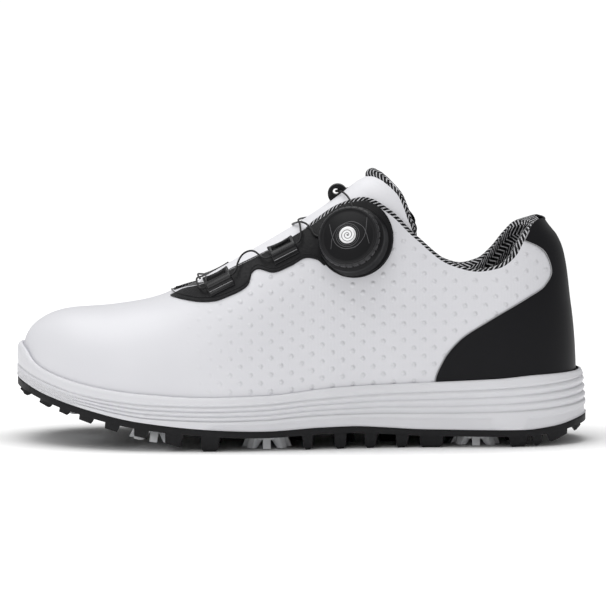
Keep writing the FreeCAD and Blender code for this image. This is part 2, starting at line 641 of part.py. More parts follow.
def cleat(height):
    """A hub with a stud above it and eight legs that lean out and down to the turf."""
    hub = disc(8.6, -2.2, -0.1).fuse(disc(4.3, -0.2, 3.7))
    profile = Part.makePolygon([V(5, -2.0, -0.4), V(10.5, -2.0, -0.4), V(CLEAT_R, -2.0, -height),
                                V(CLEAT_R - 3.4, -2.0, -height), V(5, -2.0, -2.0),
                                V(5, -2.0, -0.4)])
    leg = Part.Face(profile).extrude(V(0, 4.0, 0))
    legs = [turned(leg, 45.0 * k) for k in range(8)]
    socket = [turned(box(3.0, 6.4, -1.2, 1.2, -3, -1.2), 90.0 * k + 22.5) for k in range(4)]
    return hub.multiFuse(legs).cut(socket[0].multiFuse(socket[1:])).removeSplitter()


for name, x, y in CLEATS:
    rise = sole_bottom(x) - BAND_THICKNESS - smooth(GROUND, x)
    save("cleat_" + name, at_cleat(cleat(min(rise - 0.4, 6.4)), x, y))
    save("receptacle_" + name, at_cleat(RECEPTACLE, x, y))

# Lace and its guides.
save("lace", tube(lace_wire, LACE_R))
guide_floor = skin(-OVERLAY - 0.1)
for name, (x, z, side) in GUIDES.items():
    length, width = GUIDE_SIZE
    middle_y = side_y(x, z, 0, side)
    near = box(-FAR, FAR, middle_y - 7.5, middle_y + 7.5, 0, FAR)
    middle = (x + BLOCK_DROP * SLOPE_V, z - BLOCK_DROP * SLOPE_U)
    block = skin(-BLOCK_HEIGHT).common(along(SLOPE_U, SLOPE_V, middle, length, width).common(near))
    start, end = channel(name, -length / 2 + 0.4), channel(name, length / 2 - 0.4)
    barrel = Part.makeCylinder(CHANNEL_R, (end - start).Length, start, end - start)
    flange_zone = along(SLOPE_U, SLOPE_V, (x + 5.6 * SLOPE_V, z - 5.6 * SLOPE_U), length + 1, 5.0)
    flange = skin(-2.1).common(flange_zone.common(near))
    body = block.fuse(barrel).fuse(flange).cut(guide_floor).cut(lace_way)
    save(name, largest(body))

eye_front = TONGUE_EYE - RIDGE_RISE * 1.7
eye_body = Part.makeCylinder(5.2, 7.0, eye_front - V(0, 3.5, 0), V(0, 1, 0))
eye_bore = Part.makeCylinder(1.6, 12, TONGUE_EYE - V(0, 6, 0), V(0, 1, 0))
save("tongue_guide", largest(eye_body.cut(skin(TONGUE_INSET - 0.1)).cut(eye_bore)))

# Dial. Everything below is built on the Z axis and then moved to the dial.
flange_disc = disc(DIAL_PATCH - 0.6, -20, 20).translated(V(*PATCH_SHIFT, 0))
flange = skin(-OVERLAY - 0.8).common(at_dial(flange_disc)).cut(guide_floor)
save("dial_flange", largest(flange.cut(at_dial(disc(12.0, -9, 9))).cut(lace_way)))
foot_floor = skin(-OVERLAY - 0.9)
foot = at_dial(Part.makeCone(HOUSING_FOOT_R + 1.5, HOUSING_FOOT_R, 9.0, V(0, 0, -8.0)))
wall = disc(HOUSING_FOOT_R, 1.0, 3.4).fuse(Part.makeCone(HOUSING_FOOT_R, HOUSING_R, 1.6,
                                                          V(0, 0, 3.4)))
teeth = []
for k in range(TOOTH_COUNT):
    notch = Part.makePolygon([V(11.8, 0, 3.1), V(HOUSING_BORE, 0, 3.1), V(12.2, 1.5, 3.1),
                              V(11.8, 0, 3.1)])
    teeth.append(turned(Part.Face(notch).extrude(V(0, 0, 3)), 360.0 * k / TOOTH_COUNT))
ratchet = disc(11.9, 3.1, 6).multiFuse(teeth)
housing = at_dial(wall.cut(disc(HOUSING_BORE - 1.4, 1.0, 3.2)).cut(ratchet))
housing = foot.fuse(housing).cut(foot_floor).cut(at_dial(disc(POST_BORE, -0.6, 9))).cut(lace_way)
save("dial_housing", largest(housing))

spool = disc(SPOOL_R, 1.3, 1.9, POST_BORE).fuse(disc(SPOOL_CORE, 1.3, 4.4, POST_BORE))
spool = spool.fuse(disc(SPOOL_R, 3.9, 4.5, POST_BORE))
save("spool", at_dial(spool))
save("lace_winding", at_dial(Part.makeTorus(SPOOL_CORE + LACE_R, LACE_R, V(0, 0, 2.9))))

pawls = disc(6.0, 4.9, 5.6, POST_BORE)
for k in range(3):
    arm = box(4.5, 11.0, -1.1, 1.1, 4.9, 5.6)
    tip = Part.Face(Part.makePolygon([V(9.6, -1.1, 3.7), V(11.5, -1.1, 3.7), V(10.9, 1.1, 3.7),
                                      V(9.6, 1.1, 3.7), V(9.6, -1.1, 3.7)])).extrude(V(0, 0, 1.9))
    pawls = pawls.fuse(turned(arm, 120.0 * k)).fuse(turned(tip, 120.0 * k))
save("pawl_disc", at_dial(pawls.cut(disc(SPOOL_R + 0.3, 3.0, 4.8))))

post = disc(POST_R, -0.3, 8.2).fuse(disc(2.6, 7.5, 8.2))
save("release_post", at_dial(post))
save("dial_screw", at_dial(disc(2.6, 8.25, 9.0).cut(disc(0.9, 8.6, 9.1))))

dome_ball = Part.makeSphere(41.0, V(0, 0, KNOB_TOP - 41.0))
knob = disc(KNOB_R, KNOB_BASE, KNOB_TOP + 1).common(dome_ball)
hollow = disc(KNOB_R - 1.8, KNOB_BASE - 1, 7.0).cut(disc(4.6, KNOB_BASE + 0.25, 7.0))
knob = knob.cut(hollow).cut(disc(POST_BORE, 0, 20)).cut(disc(2.9, 7.2, 9.6)).cut(disc(4.7, 9.7, 12))
knob = knob.cut(disc(GRIP_R, 4, 8.6).cut(disc(KNOB_R - 0.6, 3, 9)))
save("knob", at_dial(knob))
grip = disc(GRIP_R, KNOB_BASE, 8.5, KNOB_R - 0.55)
notches = [turned(Part.makeCylinder(0.55, 3.6, V(GRIP_R + 0.1, 0, KNOB_BASE - 0.2)),
                  360.0 * k / GRIP_NOTCHES) for k in range(GRIP_NOTCHES)]
save("knob_grip", at_dial(grip.cut(notches[0].multiFuse(notches[1:]))))
medallion = disc(MEDALLION_R, 9.8, 10.7)
groove = disc(3.1, 10.4, 11).cut(disc(2.6, 10, 12))
save("medallion", at_dial(medallion.cut(groove)))
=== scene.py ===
"""Looks of the golf shoe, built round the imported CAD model.

Shapes are worked out in millimetres, in the row frame: the toe points along -X, the lateral side
with the dial faces -Y, and the ground is Z = 0. The curves are those of the CAD model.
"""

import math

import bmesh
import bpy
import numpy as np
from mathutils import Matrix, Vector


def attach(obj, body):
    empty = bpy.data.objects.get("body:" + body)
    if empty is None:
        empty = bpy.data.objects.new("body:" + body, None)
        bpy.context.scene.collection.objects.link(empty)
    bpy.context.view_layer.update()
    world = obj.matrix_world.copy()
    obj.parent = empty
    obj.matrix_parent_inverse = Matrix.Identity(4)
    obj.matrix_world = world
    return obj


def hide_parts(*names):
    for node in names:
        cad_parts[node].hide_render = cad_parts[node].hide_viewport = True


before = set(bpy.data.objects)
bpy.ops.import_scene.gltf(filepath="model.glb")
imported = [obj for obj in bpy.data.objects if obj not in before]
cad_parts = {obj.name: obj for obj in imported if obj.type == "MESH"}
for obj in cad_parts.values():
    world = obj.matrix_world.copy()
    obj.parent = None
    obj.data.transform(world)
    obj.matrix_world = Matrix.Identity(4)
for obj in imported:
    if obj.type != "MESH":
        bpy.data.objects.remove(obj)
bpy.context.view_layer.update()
MM = 0.001

# ---- the shoe's curves, as in CAD
HALF = 150.0
UPPER_INSET, HEEL_INSET = 3.5, 6.0
TOE_ROUND, HEEL_ROUND, TOE_PLAN_POWER, HEEL_PLAN_POWER = 60.0, 48.0, 2.1, 2.2
TOE_CAP, HEEL_CAP, TOE_CAP_POWER, HEEL_CAP_POWER = 42.0, 44.0, 3.5, 2.2
PLAN_HALF_WIDTH = [(-150, 49.5), (-112, 51.5), (-80, 53.5), (-50, 53.0), (-20, 48.0), (10, 42.0),
                   (40, 38.3), (70, 37.6), (150, 37.6)]
PLAN_CENTRE = [(-150, 9.2), (-112, 4.7), (-80, 0.2), (-50, -1.8), (-20, -3.3), (10, -2.8),
               (40, -0.6), (70, 1.0), (150, 1.7)]
SOLE_BOTTOM = [(-150, 33.5), (-135, 27.3), (-110, 20.3), (-85, 15.3), (-50, 11.6), (-19, 10.3),
               (10, 11.6), (26, 11.9), (45, 10.9), (65, 9.7), (115, 9.1), (132, 10.6), (150, 15)]
RIM_TOP = [(-150, 51), (-146.5, 48), (-143, 43.6), (-137, 39.8), (-118, 34.2), (-101, 31.4),
           (-85, 29.8), (-53, 28.1), (-19, 28.7), (21, 32.3), (61, 33.8), (104, 35.7), (126, 37.4),
           (150, 37.8)]
BED = [(-150, 41), (-135, 34), (-110, 27), (-85, 22.5), (-50, 20), (-19, 20), (10, 22), (45, 23.5),
       (115, 25), (150, 26)]
RIDGE = [(-150, 65), (-125, 68.6), (-105, 70), (-85, 73), (-75, 75.6), (-66, 79.5), (-49, 89.8),
         (-31, 100.3), (-6, 114.9), (9, 124.3), (34, 142.2), (60, 158.5), (80, 156), (100, 142),
         (122, 132.5), (150, 132)]
SIDE_POWER = [(-150, 2.5), (-60, 2.4), (0, 2.2), (150, 2.2)]
HEIGHT_POWER = [(-150, 2.4), (-60, 2.4), (0, 2.9), (150, 3.0)]
LATERAL_TOPLINE = [(-67, 79), (-60, 82), (-53, 84), (-37, 92), (-19, 101), (5, 114.8), (20, 124.4),
                   (32, 127.6), (45, 121.5), (58, 109.5), (77, 95), (92, 91.4), (103, 93.2),
                   (111, 98.8), (117, 109), (121, 115.5), (125, 117.8), (131, 119)]
MEDIAL_TOPLINE = [(-67, 79), (-60, 80.6), (-53, 82), (-37, 89.6), (-19, 98.6), (5, 112.4),
                  (20, 121.6), (32, 122.6), (45, 114.4), (58, 103), (72, 92.5), (84, 89),
                  (94, 91.5), (102, 98), (109, 106.5), (116, 113.5), (121, 116.5), (125, 117.8),
                  (131, 119)]
FOXING_EDGE = [(69.5, 20), (69.5, 34), (73.5, 45), (82, 55.8), (99, 67), (118, 78), (126, 83),
               (130.3, 90.3), (127.5, 99.6), (117, 106.5), (98, 108)]
EYESTAY_LOW = [(-69, 78), (-62, 77.3), (-53, 76.7), (-46, 77.2), (-36.5, 80.5), (-30, 83.7),
               (-27, 87), (-26, 91.5), (-22.5, 93.6), (-15, 92), (-5.7, 95.2), (3, 99.4), (8, 98.4),
               (12, 95.2)]
MEDIAL_EYESTAY_LOW = EYESTAY_LOW[:11] + [(3, 99.4), (18, 103), (34, 106), (48, 108)]
TONGUE_INSET = 3.0
DIAL_X, DIAL_Z = 27.1, 106.9
PATCH_X, PATCH_Z, DIAL_PATCH = 27.7, 109.0, 20.0
DIAL_AXIS = (-0.25, -0.90, 0.36)
OVERLAY = 1.2
LACE_R = 0.55
GUIDE_LENGTH, GUIDE_LIFT, CHANNEL_DROP = 14.8, 3.2, 4.0
SLOPE_U, SLOPE_V = 0.891, 0.454
GUIDES = {"lateral_guide_front": (-43.8, 88.0, -1), "lateral_guide_rear": (-10.5, 104.4, -1),
          "medial_guide_front": (-43.8, 85.5, 1), "medial_guide_rear": (-10.5, 101.9, 1),
          "medial_guide_upper": (24.0, 117.0, 1)}
HOUSING_FOOT_R = 17.6
FAR_UP = 999.0  # stands for an edge where there is none

# How far some looks leave the CAD shape
UPPER_SINK, FOXING_SHOULDER, FOXING_DIP = 4.6, 2.2, 3.0
FOXING_INSET, STAY_INSET, EDGE_LINE_INSET = -0.3, -0.85, -0.9

# Midsole relief
GROOVE = [(-150, 39.4), (-138.7, 34.8), (-118.6, 28.9), (-98.3, 25.8), (-78.3, 24.1), (-49.8, 23.4),
          (-19.2, 24.1), (0.8, 25.8), (20.8, 27.2), (41.4, 28.3), (78.3, 29.4), (115, 31.2),
          (141, 33.2), (150, 34.4)]
RIB_PITCH = [(-150, 1.2), (-120, 1.5), (-78, 2.3), (-50, 2.45), (0, 2.7), (31, 3.1), (53, 3.4),
             (84, 3.75), (120, 4.0), (150, 4.1)]


def smooth(points, x):
    """The smooth curve through (x, value) points, held level past its ends."""
    px, pv = (np.array(c, float) for c in zip(*points))
    slope = np.diff(pv) / np.diff(px)
    m = np.concatenate([slope[:1], np.zeros(len(pv) - 2), slope[-1:]])
    left, right = slope[:-1], slope[1:]
    same = left * right > 0
    m[1:-1][same] = 2 * left[same] * right[same] / (left[same] + right[same])
    x = np.clip(np.asarray(x, float), px[0], px[-1])
    i = np.clip(np.searchsorted(px, x, side="right") - 1, 0, len(px) - 2)
    h = px[i + 1] - px[i]
    t = (x - px[i]) / h
    return ((2 * t**3 - 3 * t**2 + 1) * pv[i] + (t**3 - 2 * t**2 + t) * h * m[i]
            + (3 * t**2 - 2 * t**3) * pv[i + 1] + (t**3 - t**2) * h * m[i + 1])


def ramp(x, start, end):
    """0 before start, 1 after end, and smooth between."""
    t = np.clip((np.asarray(x, float) - start) / (end - start), 0, 1)
    return t * t * (3 - 2 * t)


def rounding(x, toe_inset, heel_inset, toe, heel, toe_power, heel_power):
    """The share of the full size left at x, as the toe and the heel round off."""
    toe_past = np.clip((-HALF + toe - x) / (toe - toe_inset), 0, 1)
    heel_past = np.clip((x - HALF + heel) / (heel - heel_inset), 0, 1)
    return ((1 - toe_past**toe_power) ** (1 / toe_power)
            * (1 - heel_past**heel_power) ** (1 / heel_power))


def half_width(x, inset, heel_inset=None):
    """Half the sole's width, moved inwards by inset."""
    heel_inset = inset if heel_inset is None else heel_inset
    return (smooth(PLAN_HALF_WIDTH, x) - inset) * rounding(
        x, inset, heel_inset, TOE_ROUND, HEEL_ROUND, TOE_PLAN_POWER, HEEL_PLAN_POWER)


def last_half_width(x, inset):
    """Half the last's width at its foot, moved inwards by inset."""
    return half_width(x, UPPER_INSET + inset, HEEL_INSET + inset)


def last_top(x, inset=0.0):
    """Height of the last's ridge, moved inwards by inset."""
    low = smooth(BED, x)
    rise = rounding(x, UPPER_INSET + inset, HEEL_INSET + inset, TOE_CAP, HEEL_CAP, TOE_CAP_POWER,
                    HEEL_CAP_POWER)
    return low + (smooth(RIDGE, x) - inset - low) * rise


def section(x, angle, inset=0.0):
    """Points of the last's cross-sections: angle 0 is the lateral foot and pi the medial foot."""
    x, angle = np.broadcast_arrays(np.asarray(x, float), np.asarray(angle, float))
    low, top = smooth(BED, x), last_top(x, inset)
    across = np.abs(np.cos(angle)) ** (2 / smooth(SIDE_POWER, x))
    up = np.clip(np.sin(angle), 0, 1) ** (2 / smooth(HEIGHT_POWER, x))
    side = np.where(angle < math.pi / 2, -1.0, 1.0)
    y = smooth(PLAN_CENTRE, x) + side * last_half_width(x, inset) * across
    return np.stack([x, y, low + (top - low) * up], -1)


def reach(x, z, inset):
    """Half the width of the last's skin at (x, z)."""
    low, top = smooth(BED, x), last_top(x, inset)
    share = np.clip((z - low) / np.maximum(top - low, 1e-6), 0, 1)
    across = (1 - share ** smooth(HEIGHT_POWER, x)) ** (1 / smooth(SIDE_POWER, x))
    return last_half_width(x, inset) * across


def on_side(x, z, inset=0.0, side=-1):
    """Points of the last's skin on one side, over the side view's (x, z)."""
    x, z = np.broadcast_arrays(np.asarray(x, float), np.asarray(z, float))
    return np.stack([x, smooth(PLAN_CENTRE, x) + side * reach(x, z, inset), z], -1)


def vec(*c):
    return np.array(c, float)


def unit(v):
    return v / np.maximum(np.linalg.norm(v, axis=-1, keepdims=True), 1e-9)


def side_normal(x, z, side):
    """The outward direction of the last's skin on one side."""
    step = 0.5
    along = on_side(x + step, z, 0, side) - on_side(x - step, z, 0, side)
    up = on_side(x, z + step, 0, side) - on_side(x, z - step, 0, side)
    return unit(np.cross(along, up)) * (1 if side < 0 else -1)


def skin_z(x, y):
    """Height of the last's skin over the plan's (x, y)."""
    low, top = smooth(BED, x), last_top(x)
    share = np.abs(y - smooth(PLAN_CENTRE, x)) / last_half_width(x, 0.0)
    power_up, power_side = smooth(HEIGHT_POWER, x), smooth(SIDE_POWER, x)
    return low + (top - low) * (1 - share**power_side) ** (1 / power_up)


def angle_at(x, z, inset=0.0):
    """The section angle, up to pi / 2, at which the last's skin is at height z."""
    low, top = smooth(BED, x), last_top(x, inset)
    share = np.clip((z - low) / np.maximum(top - low, 1e-6), 0, 1)
    return np.arcsin(np.clip(share ** (smooth(HEIGHT_POWER, x) / 2), 0, 1))


def heel_end(z, inset):
    """X of the last's back at height z."""
    low = np.full(np.shape(z), HALF - HEEL_CAP)
    high = np.full(np.shape(z), HALF - HEEL_INSET - inset - 1e-3)
    for _ in range(40):
        middle = (low + high) / 2
        above = last_top(middle, inset) > z
        low, high = np.where(above, middle, low), np.where(above, high, middle)
    return (low + high) / 2


def wall(turn, z, inset=0.0):
    """Points round the heel: turn runs from -1, lateral at x = front, over 0 at the back, to +1.

    Past -1 and +1 it goes on forwards, 50 mm for each unit."""
    front = 80.0
    turn, z = np.broadcast_arrays(np.asarray(turn, float), np.asarray(z, float))
    angle = np.clip(turn, -1, 1) * math.pi / 2
    end = heel_end(z, inset)
    x = end - (end - front) * (1 - np.cos(angle)) - np.clip(np.abs(turn) - 1, 0, None) * 50.0
    return on_side(x, z, inset, np.where(turn < 0, -1.0, 1.0))


# ---- mesh helpers
def new_object(name, data, material, body, replaced=()):
    obj = bpy.data.objects.new(name, data)
    bpy.context.scene.collection.objects.link(obj)
    data.materials.append(material)
    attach(obj, body)
    if replaced:
        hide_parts(*replaced)
    return obj


def grid_faces(rows, cols, close_cols=False, flip=False):
    """Quads between the neighbours of a grid of points."""
    r = np.arange(rows - 1)
    c = np.arange(cols if close_cols else cols - 1)
    r, c = np.meshgrid(r, c, indexing="ij")
    r2, c2 = r + 1, (c + 1) % cols
    quads = np.stack([r * cols + c, r2 * cols + c, r2 * cols + c2, r * cols + c2], -1)
    quads = quads.reshape(-1, 4)
    return quads[:, ::-1] if flip else quads


def merge_points(mesh, distance):
    """Joins points of the mesh that lie within distance, in millimetres."""
    bm = bmesh.new()
    bm.from_mesh(mesh)
    bmesh.ops.remove_doubles(bm, verts=bm.verts, dist=distance * MM)
    bm.to_mesh(mesh)
    bm.free()


def mark(mesh, name, values):
    """Stores one number per point of the mesh, for its material to read."""
    layer = mesh.attributes.new(name, "FLOAT", "POINT")
    layer.data.foreach_set("value", values.astype(np.float32).ravel())


def mesh_from(name, points, faces, uv=None, merge=0.0):
    """A smooth-shaded mesh from points in millimetres and an array of quads."""
    mesh = bpy.data.meshes.new(name)
    points = points.reshape(-1, 3) * MM
    mesh.vertices.add(len(points))
    mesh.vertices.foreach_set("co", points.astype(np.float32).ravel())
    mesh.loops.add(faces.size)
    mesh.loops.foreach_set("vertex_index", faces.astype(np.int32).ravel())
    mesh.polygons.add(len(faces))
    mesh.polygons.foreach_set("loop_start", np.arange(0, faces.size, 4, dtype=np.int32))
    mesh.update(calc_edges=True)
    mesh.polygons.foreach_set("use_smooth", np.ones(len(faces), bool))
    if uv is not None:
        layer = mesh.uv_layers.new(name="UVMap")
        flat = uv.reshape(-1, 2)[faces.ravel()]
        layer.data.foreach_set("uv", flat.astype(np.float32).ravel())
    if merge:
        merge_points(mesh, merge)
    mesh.validate()
    mesh.update()
    return mesh


def arc_length(points):
    step = np.linalg.norm(np.diff(points, axis=-2), axis=-1)
    return np.concatenate([np.zeros(step.shape[:-1] + (1,)), np.cumsum(step, -1)], -1)


def grid_normals(points, outward_from):
    """Unit normals of a grid, turned away from the point outward_from."""
    n = unit(np.cross(np.gradient(points, axis=0), np.gradient(points, axis=1)))
    sign = np.sign(np.sum(n * (points - outward_from), -1, keepdims=True))
    return n * np.where(sign == 0, 1, sign)


def rolled(points, normals, radius, depth, sides):
    """Adds rounded borders to a grid: the skin rolls over at its edge and goes down by depth.

    sides says which borders roll: first row, last row, first column, last column."""
    steps = [(math.sin(a), 1 - math.cos(a)) for a in (math.radians(d) for d in (30, 60, 90))]
    for axis in (0, 1):
        p, n = points.swapaxes(0, axis), normals.swapaxes(0, axis)
        for end in (0, 1):
            if not sides[2 * axis + end]:
                continue
            if end:
                p, n = p[::-1], n[::-1]
            out = p[0] - p[min(3, len(p) - 1)]
            out = unit(out - np.sum(out * n[0], -1, keepdims=True) * n[0])
            rings = [p[0] + out * radius * s - n[0] * radius * c for s, c in steps]
            rings.append(rings[-1] - n[0] * depth)
            p = np.concatenate([np.array(rings[::-1]), p])
            n = np.concatenate([np.repeat(n[:1], len(rings), 0), n])
            if end:
                p, n = p[::-1], n[::-1]
        points, normals = p.swapaxes(0, axis), n.swapaxes(0, axis)
    return points


def panel(name, points, outward_from, radius, depth, sides, flip=False):
    points = rolled(points, grid_normals(points, outward_from), radius, depth, sides)
    return mesh_from(name, points, grid_faces(*points.shape[:2], flip=flip))


def tube(name, path, radius, segments, material, body):
    """A round tube along path points, with UV in millimetres along and round it."""
    path = np.asarray(path, float)
    tangent = unit(np.gradient(path, axis=0))
    side = unit(np.cross(tangent, vec(0, 0, 1)))
    over = unit(np.cross(side, tangent))
    a = np.linspace(0, 2 * math.pi, segments + 1)
    radius = np.broadcast_to(radius, (len(path),))[:, None, None]
    ring = side[:, None] * np.cos(a)[None, :, None] + over[:, None] * np.sin(a)[None, :, None]
    points = path[:, None] + ring * radius
    run = arc_length(path)
    uv = np.stack(np.broadcast_arrays(run[:, None], (a * np.mean(radius))[None]), -1)
    mesh = mesh_from(name, points, grid_faces(*points.shape[:2]), uv)
    return new_object(name, mesh, material, body)


# ---- node materials
class Nodes:
    """A material's node tree, with short ways to add and join nodes."""

    def __init__(self, name):
        self.material = bpy.data.materials.new(name)
        self.material.use_nodes = True
        self.tree = self.material.node_tree
        self.shader = self.tree.nodes["Principled BSDF"]

    def put(self, socket, value):
        """Links the socket or sets its value. A colour is made opaque."""
        if isinstance(value, bpy.types.NodeSocket):
            self.tree.links.new(value, socket)
        elif isinstance(value, tuple) and len(value) < len(socket.default_value):
            socket.default_value = (*value, 1.0)
        else:
            socket.default_value = value

    def add(self, kind, inputs=None, **settings):
        node = self.tree.nodes.new(kind)
        for key, value in settings.items():
            setattr(node, key, value)
        for key, value in (inputs or {}).items():
            self.put(node.inputs[key], value)
        return node

    def math(self, operation, a, b=0.0, c=0.0):
        return self.add("ShaderNodeMath", {0: a, 1: b, 2: c}, operation=operation).outputs[0]

    def step(self, value, low, high):
        """Runs from 0 at low to 1 at high, smoothly; the other way round if low is above high."""
        (start, at_start), (end, at_end) = sorted([(low, 0.0), (high, 1.0)])
        inputs = {"Value": value, "From Min": start, "From Max": end, "To Min": at_start,
                  "To Max": at_end}
        return self.add("ShaderNodeMapRange", inputs, interpolation_type="SMOOTHSTEP").outputs[0]

    def mix(self, share, a, b):
        return self.add("ShaderNodeMix", {0: share, 6: a, 7: b}, data_type="RGBA").outputs[2]

    def distance(self, a, b):
        """How far the point (a, b) is from (0, 0)."""
        squares = self.math("ADD", self.math("MULTIPLY", a, a), self.math("MULTIPLY", b, b))
        return self.math("SQRT", squares)

    def wave(self, value, pitch):
        return self.math("SINE", self.math("MULTIPLY", value, 2 * math.pi / pitch))

    def off_half(self, value):
        """How far the value's fraction is from a half."""
        return self.math("ABSOLUTE", self.math("SUBTRACT", self.math("FRACT", value), 0.5))

    def noise(self, scale, detail=4.0):
        vector = self.add("ShaderNodeTexCoord").outputs["Object"]
        inputs = {"Scale": scale, "Detail": detail, "Roughness": 0.55, "Vector": vector}
        return self.add("ShaderNodeTexNoise", inputs).outputs["Fac"]

    def split(self, kind="UV"):
        """The X, Y and Z of the UV or object coordinates."""
        coord = self.add("ShaderNodeTexCoord").outputs[kind]
        return self.add("ShaderNodeSeparateXYZ", {0: coord}).outputs

    def bump(self, height, distance):
        inputs = {"Height": height, "Distance": distance, "Strength": 1.0}
        return self.add("ShaderNodeBump", inputs).outputs[0]

    def finish(self, **values):
        for key, value in values.items():
            self.put(self.shader.inputs[key.replace("_", " ")], value)
        return self.material


def plain(name, color, rough, grain=900.0, depth=0.00004, spread=0.12, vary=0.08, **extra):
    """A moulded or coated surface: fine grain, slightly uneven colour and sheen.

    grain is its frequency and depth its height in metres, spread the swing in roughness, and vary
    the share by which the colour lightens and darkens."""
    n = Nodes(name)
    fine = n.noise(grain)
    broad = n.noise(35.0, 2.0)
    darker = tuple(c * (1 - vary) for c in color)
    lighter = tuple(min(c * (1 + vary), 1.0) for c in color)
    base = n.mix(broad, darker, lighter)
    roughness = n.math("MULTIPLY_ADD", fine, spread, rough - spread / 2)
    return n.finish(Base_Color=base, Roughness=roughness, Normal=n.bump(fine, depth), **extra)


def dimpled_white():
    """Smooth coated microfibre with staggered rows of small dents.

    UV is in millimetres, and the dents' strength is in the vertex attribute."""
    n = Nodes("upper_white")
    x, y, _ = n.split()
    pitch, row_gap, dent_radius, wale_gap = 10.6, 4.3, 1.7, 1.7
    row = n.math("FLOOR", n.math("DIVIDE", y, row_gap))
    odd = n.math("MODULO", row, 2.0)
    shifted = n.math("ADD", n.math("DIVIDE", x, pitch), n.math("MULTIPLY", odd, 0.5))
    du = n.math("MULTIPLY", n.math("SUBTRACT", n.math("FRACT", shifted), 0.5), pitch)
    dv = n.math("SUBTRACT", n.math("MULTIPLY", n.math("FRACT", n.math("DIVIDE", y, row_gap)),
                                   row_gap), row_gap / 2)
    away = n.distance(du, dv)
    mask = n.add("ShaderNodeAttribute", attribute_name="dent").outputs["Fac"]
    dent = n.math("MULTIPLY", n.step(away, dent_radius, 0.0), mask)
    grain = n.noise(1500.0, 3.0)
    wale = n.wave(x, wale_gap)
    ribbed = n.math("MULTIPLY", n.math("MULTIPLY", wale, mask), 0.01)
    height = n.math("ADD", n.math("MULTIPLY_ADD", grain, 0.03, ribbed),
                    n.math("MULTIPLY", dent, -1.0))
    soft = n.noise(18.0, 2.0)
    base = n.mix(soft, (0.715, 0.715, 0.75), (0.77, 0.77, 0.80))
    return n.finish(Base_Color=base, Roughness=n.math("MULTIPLY_ADD", grain, 0.1, 0.38),
                    Normal=n.bump(height, 0.0007), Coat_Weight=0.12, Coat_Roughness=0.35)


def zigzag_knit():
    """Black knit with white zigzag threads. UV is in millimetres."""
    period, gap, swing = 9.0, 2.5, 4.6
    n = Nodes("knit_zigzag")
    x, y, _ = n.split()
    saw = n.off_half(n.math("DIVIDE", y, period))
    wobble = n.math("MULTIPLY", n.math("SUBTRACT", n.noise(160.0, 2.0), 0.5), 0.9)
    along = n.math("ADD", n.math("MULTIPLY_ADD", saw, 2 * swing, x), wobble)
    off = n.off_half(n.math("DIVIDE", along, gap))
    broken = n.step(n.noise(700.0, 2.0), 0.30, 0.50)
    thread = n.math("MULTIPLY", n.step(off, 0.21, 0.12), broken)
    twist = n.noise(2600.0, 2.0)
    base = n.mix(thread, (0.006, 0.006, 0.007), (0.60, 0.60, 0.62))
    round_thread = n.math("SUBTRACT", 0.5, off)
    height = n.math("ADD", n.math("MULTIPLY", round_thread, 1.4), n.math("MULTIPLY", twist, 0.5))
    return n.finish(Base_Color=base, Roughness=0.9, Normal=n.bump(height, 0.0004),
                    Sheen_Weight=0.05, Specular_IOR_Level=0.1)


def woven(name, color, gap=0.0009):
    """A plain weave over object coordinates."""
    n = Nodes(name)
    x, y, z = n.split("Object")
    warp = n.wave(n.math("ADD", x, z), gap)
    weft = n.wave(n.math("SUBTRACT", y, z), gap)
    cross = n.math("MULTIPLY", warp, weft)
    fibre = n.noise(2500.0, 2.0)
    shade = n.math("MULTIPLY_ADD", cross, 0.2, n.math("MULTIPLY_ADD", fibre, 0.4, 0.3))
    base = n.mix(shade, tuple(c * 0.7 for c in color), tuple(min(1, c * 1.2) for c in color))
    return n.finish(Base_Color=base, Roughness=0.9, Normal=n.bump(cross, 0.0001),
                    Sheen_Weight=0.2)


def spiral_metal():
    """Bright metal with a spiral groove. UV is in millimetres from the middle."""
    groove_pitch = 1.5
    n = Nodes("medallion_spiral")
    x, y, _ = n.split()
    radius = n.distance(x, y)
    turn = n.math("DIVIDE", n.math("ARCTAN2", y, x), 2 * math.pi)
    off = n.off_half(n.math("SUBTRACT", n.math("DIVIDE", radius, groove_pitch), turn))
    line = n.math("MULTIPLY", n.step(off, 0.16, 0.08), n.step(radius, 3.9, 3.7))
    pit = n.step(radius, 0.5, 0.3)
    dark = n.math("MAXIMUM", line, pit)
    base = n.mix(dark, (0.86, 0.86, 0.87), (0.10, 0.10, 0.10))
    grain = n.noise(1500.0, 2.0)
    return n.finish(Base_Color=base, Roughness=n.math("MULTIPLY_ADD", grain, 0.15, 0.35),
                    Metallic=0.35, Normal=n.bump(dark, -0.0001))


def midsole_foam():
    """Moulded foam with a fine hatch on the band at the toe."""
    n = Nodes("midsole_foam")
    x, _, z = n.split("Object")
    grain = n.noise(1200.0, 3.0)
    hatch = n.wave(n.math("ADD", x, z), 0.0013)
    at_toe = n.add("ShaderNodeAttribute", attribute_name="hatch").outputs["Fac"]
    height = n.math("MULTIPLY_ADD", n.math("MULTIPLY", hatch, at_toe), 0.6,
                    n.math("MULTIPLY", grain, 0.35))
    base = n.mix(n.noise(25.0, 2.0), (0.69, 0.69, 0.72), (0.75, 0.75, 0.775))
    return n.finish(Base_Color=base, Roughness=n.math("MULTIPLY_ADD", grain, 0.12, 0.42),
                    Normal=n.bump(height, 0.0003))


